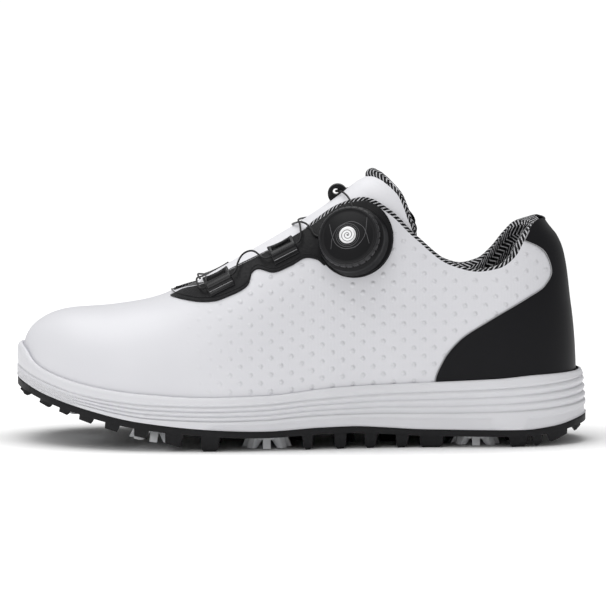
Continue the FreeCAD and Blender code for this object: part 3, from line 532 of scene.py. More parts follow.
WHITE = dimpled_white()
TONGUE_WHITE = plain("tongue_white", (0.80, 0.80, 0.83), 0.55, 1400.0, 0.00004, 0.1, 0.03)
FOXING = plain("foxing_black", (0.008, 0.008, 0.0095), 0.45, 1500.0, 0.00002, 0.10, 0.06,
               Specular_IOR_Level=0.14)
# Painted highlight: the foxing's raised edge bead is coloured light grey to stand for the light it
# catches.
FOXING_BEAD_HIGHLIGHT = plain("foxing_bead_highlight", (0.30, 0.30, 0.31), 0.4)
STAY = plain("eyestay_black", (0.007, 0.007, 0.008), 0.42, 800.0, 0.00025, 0.3, 0.4,
             Specular_IOR_Level=0.16)
KNIT = zigzag_knit()
FOAM = midsole_foam()
RUBBER = plain("outsole_rubber", (0.010, 0.010, 0.011), 0.55, 700.0, 0.00012, 0.2, 0.3,
               Specular_IOR_Level=0.2)
CLEAT = plain("cleat_plastic", (0.82, 0.83, 0.85), 0.35, 500.0, 0.00003, 0.1, 0.1)
GLOSS = plain("guide_plastic", (0.007, 0.007, 0.008), 0.25, 800.0, 0.00002, 0.15, 0.2,
              Specular_IOR_Level=0.3)
# Painted highlight: the light grey of the guides' ridge tubes stands for the bright line of light
# along the ridge.
SHINE = plain("guide_painted_highlight", (0.30, 0.30, 0.31), 0.25, 1200.0, 0.00002, 0.1, 0.1)
# Grey for the knob's lines, and also a painted highlight where it rings the dome's rim.
LINE_AND_HIGHLIGHT = plain("dial_lines_and_highlight", (0.10, 0.10, 0.105), 0.4, 1200.0, 0.00002, 0.1, 0.1)
DIAL = plain("dial_plastic", (0.009, 0.009, 0.010), 0.38, 1300.0, 0.00004, 0.15, 0.2,
             Specular_IOR_Level=0.16)
GRIP = plain("dial_grip", (0.028, 0.028, 0.030), 0.40, 1500.0, 0.00005, 0.2, 0.2,
             Specular_IOR_Level=0.3)
CABLE = plain("lace_cable", (0.004, 0.004, 0.005), 0.4, 2500.0, 0.00005, 0.2, 0.2,
              Specular_IOR_Level=0.3)
LINING = woven("lining_fabric", (0.05, 0.05, 0.052))
SOCK = woven("sock_fabric", (0.028, 0.028, 0.03), 0.0012)
STIFF = plain("stiffener_board", (0.62, 0.58, 0.50), 0.8, 300.0, 0.0001)
SPIRAL = spiral_metal()
METAL = plain("brushed_metal", (0.55, 0.55, 0.57), 0.3, 900.0, 0.00002, Metallic=1.0)


# ---- white upper
def cap_stations():
    """X stations of the toe cap, close together where its skin turns up."""
    t = np.linspace(0, math.pi / 2, 46)[:-1]
    return -HALF + TOE_CAP - (TOE_CAP - UPPER_INSET) * np.cos(t) ** (2 / TOE_CAP_POWER)


def back_stations():
    """X stations of the back, close together where its skin turns down."""
    t = np.linspace(0, math.pi / 2, 40)[1:]
    return HALF - HEEL_CAP + (HEEL_CAP - HEEL_INSET) * np.sin(t) ** (2 / HEEL_CAP_POWER)


def patch_rise(x):
    """Half the height, at x, of the round patch under the dial."""
    return np.sqrt(np.clip(DIAL_PATCH**2 - (x - PATCH_X) ** 2, 0, None))


def upper_half(side):
    """Points, UV and strength of the dents over one side of the upper."""
    topline = LATERAL_TOPLINE if side < 0 else MEDIAL_TOPLINE
    xs = np.concatenate([cap_stations(), np.arange(-HALF + TOE_CAP, HALF - HEEL_CAP, 1.5),
                         back_stations()])
    xs = np.clip(xs, -HALF + UPPER_INSET + 0.002, HALF - HEEL_INSET - 0.002)
    top_z = np.where(xs < topline[0][0], FAR_UP, smooth(topline, xs))
    top_angle = np.where(top_z >= last_top(xs), math.pi / 2, angle_at(xs, top_z))
    share = np.linspace(0, 1, 84)
    angle = top_angle[:, None] * share[None]
    if side > 0:
        angle = math.pi - angle
    points = section(xs[:, None], angle)
    points[..., 2] -= UPPER_SINK * ramp(xs, 119, 130)[:, None] * ramp(points[..., 2], 96, 116)
    run = arc_length(points)
    uv = np.stack([np.broadcast_to(xs[:, None], run.shape), run], -1)
    edge_gap = (1 - share)[None] * run[:, -1:]
    if side < 0:
        patch_z = np.where(np.abs(xs - PATCH_X) < DIAL_PATCH, PATCH_Z - patch_rise(xs), FAR_UP)
        stay_z = np.where(xs < EYESTAY_LOW[-1][0], smooth(EYESTAY_LOW, xs), patch_z)
    else:
        stay_z = np.where(xs < MEDIAL_EYESTAY_LOW[-1][0], smooth(MEDIAL_EYESTAY_LOW, xs), FAR_UP)
    under_stay = ramp(stay_z[:, None] - points[..., 2], 1.0, 3.0)
    fade = ramp(xs, -66, -20)[:, None]
    dent = fade * ramp(edge_gap, 2.5, 5.0) * under_stay
    return points, uv, dent


def build_upper():
    points, uv, dent = (np.stack(pair) for pair in zip(upper_half(-1), upper_half(1)))
    rows, cols = points.shape[1:3]
    faces = [grid_faces(rows, cols, flip=True), grid_faces(rows, cols) + rows * cols]
    mesh = mesh_from("upper", points, np.concatenate(faces), uv)
    mark(mesh, "dent", dent)
    merge_points(mesh, 0.01)
    new_object("upper", mesh, WHITE, "shoe", ["upper_shell"])


build_upper()


# ---- heel foxing
def foxing_edge_x(z, side):
    """X of the foxing's front edge at height z."""
    x = smooth([(z0, x0) for x0, z0 in FOXING_EDGE], z)
    topline = LATERAL_TOPLINE if side < 0 else MEDIAL_TOPLINE
    rise = [(z0, x0) for x0, z0 in topline if x0 >= 92]
    return np.where(z > rise[0][0], np.maximum(x, smooth(rise, z)), x)


def build_foxing():
    bottom, top = 24, 118.2
    zs = np.concatenate([np.linspace(bottom, 90, 60), np.linspace(91, top, 40)])
    backs = heel_end(zs, FOXING_INSET)
    t = np.linspace(-1, 1, 121)
    a = np.abs(t) * math.pi / 2
    side = np.where(t < 0, -1.0, 1.0)
    shoulder = FOXING_SHOULDER * ramp(zs, 72, 106) * (1 - ramp(zs, 109, top))
    rows = []
    for z, back, fuller in zip(zs, backs, shoulder):
        lateral, medial = (min(float(foxing_edge_x(z, s)), back - 0.05) for s in (-1, 1))
        front = np.where(t < 0, lateral, medial)
        x = back - (back - front) * (1 - np.cos(a))
        y = smooth(PLAN_CENTRE, x) + side * reach(x, z, FOXING_INSET)
        height = z - FOXING_DIP * ramp(x, 123, 133) * ramp(z, 100, top)
        rows.append(np.stack([x + fuller * np.cos(a), y, height], -1))
    points = np.array(rows)
    mesh = panel("heel_foxing_look", points, vec(95, 1.5, 60), 0.35, 0.8, (False, True, True, True))
    new_object("heel_foxing_look", mesh, FOXING, "shoe", ["heel_foxing"])
    # Grey bead tubes along the foxing's front edges; their grey is a painted highlight.
    for name, column in (("foxing_bead_highlight_lateral", 0), ("foxing_bead_highlight_medial", -1)):
        tube(name, points[6:-9, column], 0.34, 8, FOXING_BEAD_HIGHLIGHT, "shoe")


build_foxing()


# ---- eyestays
def build_eyestay(word, low, topline, side, x_end):
    name = f"eyestay_{word}_look"
    x_start = -68.5
    t = np.linspace(0, 1, 190)
    if side < 0:
        t = np.sin((t - 0.5) * math.pi) / 2 + 0.5
    xs = x_start + (x_end - x_start) * t
    low_z = smooth(low, xs)
    top_z = smooth(topline, xs)
    if side < 0:
        arc = patch_rise(xs)
        low_z = np.where(xs > low[-1][0], PATCH_Z - arc, low_z)
        top_z = np.where(xs > 36, np.minimum(top_z, PATCH_Z + arc), top_z)
    top_z = np.minimum(top_z, last_top(xs) - 0.3)
    top_z = np.maximum(top_z, low_z + 0.05)
    z = low_z[:, None] + (top_z - low_z)[:, None] * np.linspace(0, 1, 26)
    points = on_side(xs[:, None], z, STAY_INSET, side)
    mesh = panel(name, points, vec(0, 0, 60), 0.3, 0.75, (True,) * 4, flip=side > 0)
    new_object(name, mesh, STAY, "shoe", [word + "_eyestay"])
    path = on_side(xs[4:-4], low_z[4:-4] + 1.6, EDGE_LINE_INSET, side)
    tube(name + "_edge_line", path, 0.22, 6, STAY, "shoe")


build_eyestay("lateral", EYESTAY_LOW, LATERAL_TOPLINE, -1, PATCH_X + DIAL_PATCH - 0.05)
build_eyestay("medial", MEDIAL_EYESTAY_LOW, MEDIAL_TOPLINE, 1, 52.0)


# ---- padded knit collar
def edge_height(turn, topline):
    """Height of the topline at each turn round the collar."""
    low, high = np.full(turn.shape, 70.0), np.full(turn.shape, 131.0)
    for _ in range(46):
        middle = (low + high) / 2
        x = wall(turn, middle)[..., 0]
        above = middle > np.minimum(smooth(topline, x), last_top(x) - 0.02)
        low, high = np.where(above, low, middle), np.where(above, middle, high)
    return (low + high) / 2


def build_collar():
    front = np.linspace(1, 3.94, 220)[1:]
    turn = np.concatenate([-front[::-1], np.linspace(-1, 1, 241), front])
    z_edge = np.where(turn < 0, edge_height(turn, LATERAL_TOPLINE),
                      edge_height(turn, MEDIAL_TOPLINE))
    edge = wall(turn, z_edge)
    along = unit(np.gradient(edge, axis=0))
    below = unit(edge - wall(turn, z_edge - 1.2))
    over = unit(below - np.sum(below * along, -1, keepdims=True) * along)
    x = edge[:, 0]
    pad = 2.6 + 6.4 * ramp(x, 46, 76)
    depth = 3.0 + 1.5 * ramp(x, 48, 90) + 3.0 * ramp(x, 121, 131)
    inner = wall(turn, z_edge - depth, pad)
    inner_up = unit(inner - wall(turn, z_edge - depth - 1.5, pad))
    lift = 4.6 * ramp(x, -2, 8) - 0.8 * ramp(x, 40, 60) - 3.6 * ramp(x, 113, 122)
    lift = lift[:, None]
    forward, sunk = 3.0 * ramp(x, 119, 131), 3.6 * ramp(x, 121, 131)
    edge = edge - np.stack([forward, 0 * x, sunk], -1)
    rows = []
    for t in np.linspace(0, 1, 15):
        share = ((1 - t) ** 3, 3 * (1 - t) ** 2 * t, 3 * (1 - t) * t**2, t**3)
        rows.append(share[0] * edge + share[1] * (edge + over * lift)
                    + share[2] * (inner + inner_up * lift) + share[3] * inner)
    reach_down = 6.0 + 32.0 * ramp(x, 30, 84)
    for t in np.linspace(0, 1, 22)[1:]:
        thick = pad * (1 - 0.3 * t**3)
        rows.append(wall(turn, z_edge - depth - reach_down * t, thick))
    points = np.array(rows).swapaxes(0, 1)
    run = arc_length(points[:, 8])
    across = arc_length(points)
    uv = np.stack([np.broadcast_to(run[:, None], across.shape), across], -1)
    mesh = mesh_from("collar_knit", points, grid_faces(*points.shape[:2]), uv)
    obj = new_object("collar_knit", mesh, KNIT, "shoe", ["collar_lining", "collar_foam"])


build_collar()


# ---- tongue
TONGUE_LOW = [(-80, 70), (-60, 73), (-40, 83), (-20, 93), (0, 104), (20, 112), (40, 110), (62, 106)]
TONGUE_BULGE = [(104, 0), (112, 1), (120, 2.8), (126.6, 5.0), (133, 6.6), (139.5, 4.8), (144, 1.2),
                (148, -1.0), (152, -0.5)]
TONGUE_TIP = [(104, 56.5), (112, 57.5), (122, 52), (132, 45), (142.5, 38), (152, 32)]


def build_tongue():
    x_start = -78.0
    share = np.linspace(-1, 1, 101)
    t = np.linspace(0, 1, 150)
    tip_x = np.full(share.shape, 50.0)
    fuller = ramp(-share, 0.0, 0.3)
    for _ in range(30):
        low = angle_at(tip_x, smooth(TONGUE_LOW, tip_x), TONGUE_INSET)
        angle = math.pi / 2 + share * (math.pi / 2 - low)
        z = section(tip_x, angle, TONGUE_INSET)[..., 2]
        tip_x = 0.6 * tip_x + 0.4 * (smooth(TONGUE_TIP, z) + fuller * smooth(TONGUE_BULGE, z))
    xs = x_start + (tip_x - x_start)[None] * t[:, None]
    low = angle_at(xs, smooth(TONGUE_LOW, xs), TONGUE_INSET)
    angle = math.pi / 2 + share[None] * (math.pi / 2 - low)
    puff = 0.5 * ramp(t, 0.5, 0.95)[:, None] * (1 - np.abs(share[None]) ** 3)
    tuck = ramp(t, 0.9, 1.0)[:, None]
    top = section(xs, angle, TONGUE_INSET - puff + 1.0 * tuck)
    under = section(xs, angle, TONGUE_INSET + 4.4 - 1.2 * tuck)
    ring = np.concatenate([top, under[:, ::-1]], axis=1)
    faces = grid_faces(len(t), ring.shape[1], close_cols=True)
    mesh = mesh_from("tongue_look", ring, faces)
    obj = new_object("tongue_look", mesh, TONGUE_WHITE, "shoe", ["tongue"])
    tip = (top[-1] + under[-1]) / 2
    middle = (1 - np.abs(share)) ** 2.2
    roll_radius = 1.5 + 2.3 * middle
    shift = np.stack([-1.0 * middle, 0 * middle, -0.8 - 0.3 * middle], -1)
    obj = tube("tongue_knit_edge", tip + shift, roll_radius, 24, KNIT, "shoe")


build_tongue()


# ---- midsole
def outline(share, inset, side):
    """Plan outline moved inwards: share runs from 0 at the toe to 1 at the heel."""
    x = -HALF + inset + (2 * HALF - 2 * inset) * share
    return x, smooth(PLAN_CENTRE, x) + side * half_width(x, inset)


def midsole_profile(x):
    """(inset, height) down the sidewall at each x, as two arrays of shape (points, stations)."""
    rim, sole, groove = smooth(RIM_TOP, x), smooth(SOLE_BOTTOM, x), smooth(GROOVE, x)
    pitch = smooth(RIB_PITCH, x)
    ribs_on = ramp(x, -126, -108)
    flare = ramp(x, 95, 150)
    inset, height = [], []

    def at(d, z):
        inset.append(np.broadcast_to(d, x.shape))
        height.append(np.broadcast_to(z, x.shape))

    at(4.2, rim - 3.5)
    at(3.45, rim - 1.2)
    at(3.1, rim - 0.35)
    band_d = 0.45 + 1.5 * flare
    for a in np.linspace(0, math.pi / 2, 8):
        at(band_d + 2.5 - 2.3 * math.sin(a) + 0.05, rim - 2.6 * (1 - math.cos(a)))
    for t in np.linspace(0.2, 1, 7):
        bulge = 0.25 * math.sin(math.pi * t)
        at(band_d + 0.25 - bulge, rim - 2.6 + (groove + 0.7 - rim + 2.6) * t)
    at(band_d + 0.75, groove + 0.25)
    at(band_d + 0.9, groove)
    at(band_d * 0.9 + 0.55, groove - 0.2)
    for k in range(3):
        top, bottom = groove - 0.25 - k * pitch, groove - 0.25 - (k + 1) * pitch
        rib_d = 0.35 + flare * (1.25 - 0.45 * k)
        for t in np.linspace(0.08, 1, 9):
            lobe = math.sin(math.pi * t / 0.7) if t < 0.35 else 1 - ((t - 0.35) / 0.65) ** 1.6
            depth = 1.25 + 0.1 * flare
            at(rib_d + depth * (1 - lobe) * ribs_on, top + (bottom - top) * t)
    start = groove - 0.25 - 3 * pitch
    for t in np.linspace(0.06, 1, 14):
        z = start + (sole + 0.5 - start) * t
        lean = (z - sole) * 0.6
        slant = ramp(x - lean, -52, -47) * (1 - ramp(x + lean, 101, 106)) + ramp(x - lean, 114, 119)
        ledge = 1.1 * slant * ramp(t, 0.32, 0.46)
        at(0.35 * (1 - t) + ledge + 0.15 + 0.25 * flare * (1 - t), z)
    at(0.35, sole + 0.15)
    at(0.9, sole - 0.02)
    at(6.0, sole - 0.02)
    return np.array(inset), np.array(height)


def build_midsole():
    a = np.linspace(0, math.pi, 560)
    lateral = (1 - np.cos(a)) / 2
    medial = lateral[::-1][1:-1]
    share = np.concatenate([lateral, medial])
    side = np.concatenate([np.full(len(lateral), -1.0), np.full(len(medial), 1.0)])
    inset, height = midsole_profile(-HALF + 2 * HALF * share)
    x, y = outline(share[None], inset, side[None])
    points = np.stack([x, y, height], -1)
    mesh = mesh_from("midsole_look", points,
                     grid_faces(*points.shape[:2], close_cols=True, flip=True))
    below = ramp(smooth(GROOVE, points[..., 0]) - points[..., 2], 0.5, 1.5)
    mark(mesh, "hatch", (1 - ramp(points[..., 0], -122, -108)) * below)
    new_object("midsole_look", mesh, FOAM, "shoe", ["midsole"])


build_midsole()


# ---- lace
DIAL_N = unit(vec(*DIAL_AXIS))
DIAL_U = unit(np.cross(vec(0, 0, 1), DIAL_N))
DIAL_V = np.cross(DIAL_N, DIAL_U)
DIAL_FOOT = on_side(DIAL_X, DIAL_Z) + DIAL_N * (OVERLAY + 1.6)
RIDGE_RISE = vec(-0.585, 0, 0.811)
TONGUE_EYE = vec(19.5, 0, float(last_top(19.5)) - TONGUE_INSET) + RIDGE_RISE * 2.6


def dial_point(u, v, n):
    return DIAL_FOOT + DIAL_U * u + DIAL_V * v + DIAL_N * n


def off_side(x, z, lift, side=-1):
    return on_side(x, z, 0, side) + side_normal(x, z, side) * lift


def off_top(x, y, lift):
    return vec(x, y, float(skin_z(x, y)) + lift)


def guide_point(name, along, drop, lift):
    """A point on a lace guide: along it, down from its upper edge and out from the last."""
    x, z, side = GUIDES[name]
    x, z = x + along * SLOPE_U + drop * SLOPE_V, z + along * SLOPE_V - drop * SLOPE_U
    return off_side(x, z, lift, side)


def in_guide(name, *stops):
    return [guide_point(name, stop, CHANNEL_DROP, GUIDE_LIFT) for stop in stops]


def over_top(*spots):
    return [off_top(*spot) for spot in spots]


def lace_points():
    """The same control points as the CAD lace's."""
    half = GUIDE_LENGTH / 2
    points = [dial_point(-9.2, 3.0, 2.9), dial_point(-HOUSING_FOOT_R - 1.0, -1.0, 3.0)]
    points += over_top((4.3, -24.5, 3.6), (0.0, -18.0, 2.0), (-3.4, -10.0, -0.8), (-4.8, 0, -2.0),
                       (-4.8, 9.0, -1.0), (-2.0, 16.5, 1.2), (3.6, 22.5, 3.2))
    points += in_guide("medial_guide_rear", half + 3, half - 2, -half)
    points += in_guide("medial_guide_front", half, -half + 2, -half - 3)
    points += over_top((-55.5, 16, 2.4), (-52.0, 8, -1.0), (-50.0, 0, -2.0), (-52.0, -8, -1.0),
                       (-55.5, -16, 2.4))
    points += in_guide("lateral_guide_front", -half - 3, -half + 2, half - 2, half + 2.5)
    points += [off_side(-31.5, 94.5, 3.4)] + over_top((-29.8, -22.0, 4.0), (-24.5, -24.0, 3.8))
    points += in_guide("lateral_guide_rear", -half - 4, -half + 2, half - 2, half + 3)
    points += over_top((-0.6, -23.0, 4.8), (-1.8, -16.5, 2.6), (-1.4, -8.0, -0.6), (0.2, 1.0, -2.0),
                       (3.2, 10.0, -1.4), (8.0, 18.0, 1.4), (12.5, 23.5, 3.4))
    points += in_guide("medial_guide_upper", -half - 3, -half + 2, half - 2, half + 3)
    points += over_top((38.5, 25.5, 3.0), (33.0, 18.0, 1.0), (26.0, 10.5, -1.0))
    points += [TONGUE_EYE + vec(0, 3.6, 0), TONGUE_EYE - vec(0, 3.6, 0), off_top(21.5, -11.0, 0.4),
               dial_point(-1.0, HOUSING_FOOT_R + 2.0, 3.4), dial_point(1.5, 9.4, 2.9)]
    return points


def build_lace():
    curve = bpy.data.curves.new("lace_look", "CURVE")
    curve.dimensions = "3D"
    curve.bevel_depth = 0.92 * LACE_R * MM
    curve.bevel_resolution = 3
    curve.resolution_u = 8
    curve.use_fill_caps = True
    spline = curve.splines.new("NURBS")
    points = lace_points()
    spline.points.add(len(points) - 1)
    for point, place in zip(spline.points, points):
        point.co = (*(place * MM), 1.0)
    spline.order_u = 3
    spline.use_endpoint_u = True
    new_object("lace_look", curve, CABLE, "shoe", ["lace"])


build_lace()


# ---- moulded small parts from CAD
LUG_REACH = [(-150, 5.2), (-143, 5.4), (-133.5, 5.6), (-112.5, 6.3), (-100, 7.0), (-84, 7.6),
             (-67, 9.2), (-55, 12), (115, 12), (126, 8.8), (135, 7.2), (143.5, 5.8), (150, 5.2)]


def blunt_lugs(mesh):
    """Raises the lower ends of the lugs near the toe and the heel, in line with the sole."""
    spots = np.empty(len(mesh.vertices) * 3, np.float32)
    mesh.vertices.foreach_get("co", spots)
    spots = spots.reshape(-1, 3)
    x = spots[:, 0] / MM
    lowest = (smooth(SOLE_BOTTOM, x) - smooth(LUG_REACH, x)) * MM
    spots[:, 2] = np.maximum(spots[:, 2], lowest)
    mesh.vertices.foreach_set("co", spots.ravel())


def refined(node, material, width):
    """A copy of a CAD node of the shoe with its edges rounded, shown in the node's place."""
    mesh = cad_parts[node].data.copy()
    mesh.materials.clear()
    if node == "outsole":
        blunt_lugs(mesh)
    bm = bmesh.new()
    bm.from_mesh(mesh)
    bmesh.ops.remove_doubles(bm, verts=bm.verts, dist=0.002 * MM)
    bmesh.ops.dissolve_limit(bm, angle_limit=math.radians(1.0), verts=bm.verts, edges=bm.edges)
    bm.to_mesh(mesh)
    bm.free()
    mesh.polygons.foreach_set("use_smooth", np.ones(len(mesh.polygons), bool))
    obj = new_object(node + "_look", mesh, material, "shoe", [node])
    bevel = obj.modifiers.new("round", "BEVEL")
    bevel.segments = 3
    bevel.width = width * MM
    bevel.limit_method = "ANGLE"
    bevel.angle_limit = math.radians(25 if node == "outsole" else 35)
    bevel.harden_normals = True


def guide_section(along):
    """(drop, lift) points across a lace guide, from its top edge down to its flange."""
    slot = float(ramp(5.4 - abs(along), 0.0, 0.9))
    dip = 0.6 * (1 - (along / 7.2) ** 2)
    face = [(-0.6 + dip, 3.0), (-0.3 + dip, 3.35), (0.1 + dip, 3.45)]
    face += [(0.35 + dip, 3.4 - 0.5 * slot), (0.5 + dip, 3.4 - 1.6 * slot), (1.2, 3.4 - 1.7 * slot),
             (1.9, 3.5 - 1.7 * slot), (2.1, 3.55 - 0.6 * slot), (2.35, 3.7), (2.8, 4.05),
             (3.5, 4.35), (4.3, 4.3), (5.0, 3.9), (5.45, 3.3), (5.65, 2.6), (5.8, 2.35),
             (6.1, 2.5), (6.5, 2.3), (6.8, 1.95), (7.2, 1.8), (7.45, 1.5)]
    return [(-0.65 + dip, 1.0)] + face + [(7.5, 1.0)]


def build_guide(name):
    x0, z0, side = GUIDES[name]
    stations = [(-7.2, 0.0), (-7.2, 0.5), (-7.12, 0.76), (-6.9, 0.92), (-6.6, 1.0)]
    stations += [(a, 1.0) for a in np.linspace(-6.2, 6.2, 53)]
    stations += [(-a, share) for a, share in stations[:5]][::-1]
    rings = []
    for along, share in stations:
        ring = np.array(guide_section(along))
        lift = 1.0 + (ring[:, 1] - 1.0) * share
        x = x0 + along * SLOPE_U + ring[:, 0] * SLOPE_V
        z = z0 + along * SLOPE_V - ring[:, 0] * SLOPE_U
        rings.append(off_side(x, z, lift[:, None], side))
    points = np.array(rings)
    mesh = mesh_from(name + "_look", points, grid_faces(*points.shape[:2], flip=side > 0))
    new_object(name + "_look", mesh, GLOSS, "shoe", [name])
    # A grey tube along each guide's ridge: a painted highlight.
    ridge = [guide_point(name, a, 6.1, 2.55) for a in np.linspace(-6.5, 6.5, 30)]
    tube(name + "_ridge", ridge, 0.17, 6, SHINE, "shoe")
    seam = [guide_point(name, a, 7.0, 1.95) for a in np.linspace(-6.7, 6.7, 30)]
    tube(name + "_seam", seam, 0.14, 6, STAY, "shoe")


for guide in GUIDES:
    build_guide(guide)
refined("tongue_guide", GLOSS, 0.45)
refined("outsole", RUBBER, 0.7)
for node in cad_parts:
    if node.startswith("cleat_"):
        refined(node, CLEAT, 0.35)


# ---- dial
def turned(node, profile, material, body, segments=144, ripple=None):
    """The look of a CAD node, turned about the dial's axis from (radius, height) points."""
    profile = np.array(profile, float)
    a = np.linspace(0, 2 * math.pi, segments, endpoint=False)
    r = np.repeat(profile[:, :1], segments, 1)
    if ripple is not None:
        r = r + ripple(profile[:, :1], a[None])
    h = np.repeat(profile[:, 1:], segments, 1)
    points = np.stack([r * np.cos(a), r * np.sin(a), h], -1)
    placed = dial_point(points[..., :1], points[..., 1:2], points[..., 2:])
    mesh = mesh_from(node + "_look", placed, grid_faces(len(profile), segments, close_cols=True),
                     points[..., :2], merge=0.002)
    new_object(node + "_look", mesh, material, body, [node])


def rounded_profile(points, radius):
    """The profile with its corners rounded."""
    points = [np.array(p, float) for p in points]
    out = [points[0]]
    for before, here, after in zip(points, points[1:], points[2:]):
        back, on = before - here, after - here
        cut = min(radius, 0.45 * np.linalg.norm(back), 0.45 * np.linalg.norm(on))
        a, b = here + unit(back) * cut, here + unit(on) * cut
        for t in np.linspace(0, 1, 5):
            out.append((1 - t) ** 2 * a + 2 * t * (1 - t) * here + t**2 * b)
    out.append(points[-1])
    return out


KNOB_TOP, DOME_RADIUS, GRIP_NOTCHES = 10.6, 41.0, 28
KNOB_LINES = {
    "arc_upper": [(-8.5, -7.4), (-8.0, -1.3), (-5.4, 4.2), (1.0, 7.4), (6.6, 5.6), (9.2, 2.5),
                  (11.6, -3.8)],
    "arc_lower": [(-10.6, 5.8), (-8.0, -1.3), (-5.5, -5.2), (-1.0, -7.2), (4.6, -6.0),
                  (8.0, -2.0), (9.2, 2.5), (8.9, 11.2)]}


def dome(radius):
    """Height of the knob's face at a distance from its axis."""
    return KNOB_TOP - (radius * radius) / (2 * DOME_RADIUS)


def on_dome(u, v):
    return dial_point(u, v, dome(math.hypot(u, v)) + 0.02)


def through(points):
    """Points of a smooth curve through the given ones."""
    p = [np.array(q, float) for q in points]
    p = [2 * p[0] - p[1]] + p + [2 * p[-1] - p[-2]]
    out = []
    for a, b, c, d in zip(p, p[1:], p[2:], p[3:]):
        for t in np.linspace(0, 1, 12, endpoint=False):
            out.append(0.5 * (2 * b + (c - a) * t + (2 * a - 5 * b + 4 * c - d) * t**2
                              + (3 * b - a - 3 * c + d) * t**3))
    out.append(p[-2])
    return out


def notched(r, a):
    """How far the grip ring is cut in at radius r and angle a."""
    wave = np.abs(((a * GRIP_NOTCHES / (2 * math.pi)) % 1.0) - 0.5) * 2
    cut = np.clip((wave - 0.72) / 0.2, 0, 1)
    return -0.55 * cut * (r > 15.6)


def build_dial():
    housing = rounded_profile([(18.6, -2.6), (17.7, 1.0), (17.5, 3.4), (15.7, 5.0), (12.0, 5.0)],
                              0.6)
    turned("dial_housing", housing, DIAL, "shoe")
    face = [(r, dome(r)) for r in np.linspace(13.6, 0.2, 24)]
    knob = rounded_profile([(12.0, 5.5), (15.35, 5.5), (15.35, 8.4), (15.1, 9.0), face[0]], 0.3)
    turned("knob", knob[:-1] + face, DIAL, "knob")
    ring = rounded_profile([(14.9, 5.45), (16.2, 5.5), (16.35, 6.2), (16.2, 7.9), (15.4, 8.7),
                            (14.6, 8.9)], 0.3)
    turned("knob_grip", ring, GRIP, "knob", 560, notched)
    medal = rounded_profile([(4.5, 9.6), (4.5, 10.75), (3.9, 10.95), (3.2, 10.85), (0.05, 10.9)],
                            0.15)
    turned("medallion", medal, SPIRAL, "knob", 96)
    for name, points in KNOB_LINES.items():
        path = [on_dome(u, v) for u, v in through(points)]
        tube("knob_" + name, path, 0.16, 8, LINE_AND_HIGHLIGHT, "knob")
    turn = np.linspace(0, 2 * math.pi, 97)
    # The ring at radius 14.3 is a painted highlight along the edge of the dome's rim.
    for name, radius in (("ring_inner", 5.3), ("ring_outer", 6.2), ("rim_highlight", 14.3)):
        path = [on_dome(radius * math.cos(a), radius * math.sin(a)) for a in turn]
        tube("knob_" + name, path, 0.13, 8, LINE_AND_HIGHLIGHT, "knob")


build_dial()


# ---- CAD nodes that stay as they are
FINISH = [(STIFF, ["toe_puff", "heel_counter", "insole_board"]),
          (LINING, ["vamp_lining", "lateral_lining", "medial_lining", "heel_lining"]),
          (KNIT, ["tongue_lining"]), (SOCK, ["sockliner"]),
          (DIAL, ["shank", "dial_flange", "spool", "pawl_disc", "release_post"]),
          (DIAL, [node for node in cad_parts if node.startswith("receptacle")]),
          (CABLE, ["lace_winding"]), (METAL, ["dial_screw"])]
for finish, nodes in FINISH:
    for node in nodes:
        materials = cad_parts[node].data.materials
        materials.clear()
        materials.append(finish)


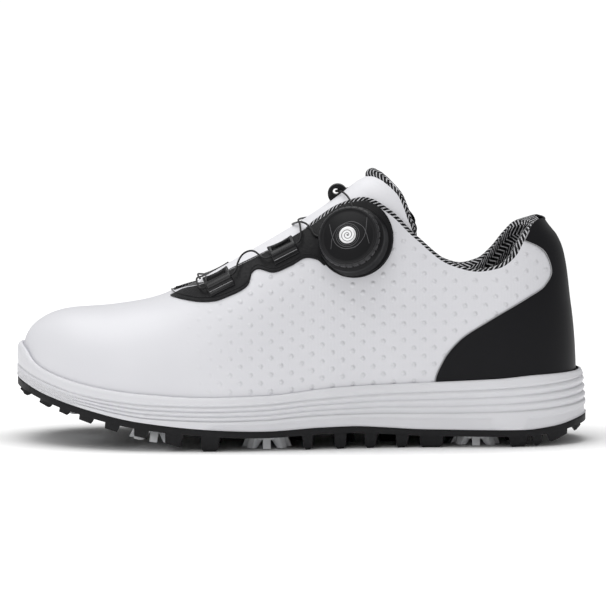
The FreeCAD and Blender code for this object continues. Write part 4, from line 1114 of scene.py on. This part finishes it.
# ---- floor, light and camera
def floor_material():
    """A pale floor that glows a little outside an oval round the shoe: painted light, which leaves
    a painted contact shadow in the oval under the shoe.
    """
    half_length, half_depth, shift, glow_power = 0.19, 0.075, -0.01, 0.3
    n = Nodes("floor")
    broad = n.noise(3.0, 2.0)
    x, y, _ = n.split("Object")
    far_x = n.math("DIVIDE", x, half_length)
    far_y = n.math("DIVIDE", n.math("ADD", y, shift), half_depth)
    away = n.distance(far_x, far_y)
    # Painted light: the floor glows outside the oval and not under the shoe, so the oval reads as a
    # painted shadow.
    glow = n.math("MULTIPLY", n.step(away, 0.7, 1.3), glow_power)
    return n.finish(Base_Color=n.mix(broad, (0.92, 0.92, 0.92), (0.95, 0.95, 0.95)),
                    Roughness=0.85, Emission_Color=(1.0, 1.0, 1.0), Emission_Strength=glow)


bpy.ops.mesh.primitive_plane_add(size=1.6, location=(0, 0, 0))
floor = bpy.context.object
floor.name = "floor"
floor.data.materials.append(floor_material())


def area_light(name, place, target, size, power):
    data = bpy.data.lights.new(name, "AREA")
    data.shape = "RECTANGLE"
    data.size, data.size_y = size
    data.energy = power
    light = bpy.data.objects.new(name, data)
    light.location = place
    aim = Vector(target) - Vector(place)
    light.rotation_euler = aim.to_track_quat("-Z", "Y").to_euler()
    bpy.context.scene.collection.objects.link(light)


area_light("key", (-0.7, -1.3, 1.1), (0, 0, 0.06), (0.8, 0.8), 4.0)
area_light("top", (-0.2, 0.1, 1.5), (0, 0, 0.05), (1.8, 1.4), 18.0)

SKY_LIGHT, SKY_SEEN = 0.42, 1.05
world = bpy.data.worlds.new("studio")
world.use_nodes = True
background = world.node_tree.nodes["Background"]
background.inputs[0].default_value = (1, 1, 1, 1)
light_path = world.node_tree.nodes.new("ShaderNodeLightPath")
strength = world.node_tree.nodes.new("ShaderNodeMapRange")
strength.inputs["To Min"].default_value = SKY_LIGHT
strength.inputs["To Max"].default_value = SKY_SEEN
world.node_tree.links.new(light_path.outputs["Is Camera Ray"], strength.inputs["Value"])
world.node_tree.links.new(strength.outputs[0], background.inputs[1])
bpy.context.scene.world = world

bpy.context.scene.view_settings.view_transform = "Standard"

AIM = Vector((0.0008, 0.0, 0.0719))
ELEVATION, DISTANCE, VIEW_WIDTH = math.radians(6.0), 3.0, 0.3180
cam_data = bpy.data.cameras.new("camera")
cam_data.lens = cam_data.sensor_width * DISTANCE / VIEW_WIDTH
cam_data.clip_end = 50
camera = bpy.data.objects.new("camera", cam_data)
back = Vector((0, -math.cos(ELEVATION), math.sin(ELEVATION)))
camera.location = AIM + back * DISTANCE
camera.rotation_euler = (-back).to_track_quat("-Z", "Y").to_euler()
bpy.context.scene.collection.objects.link(camera)
bpy.context.scene.camera = camera
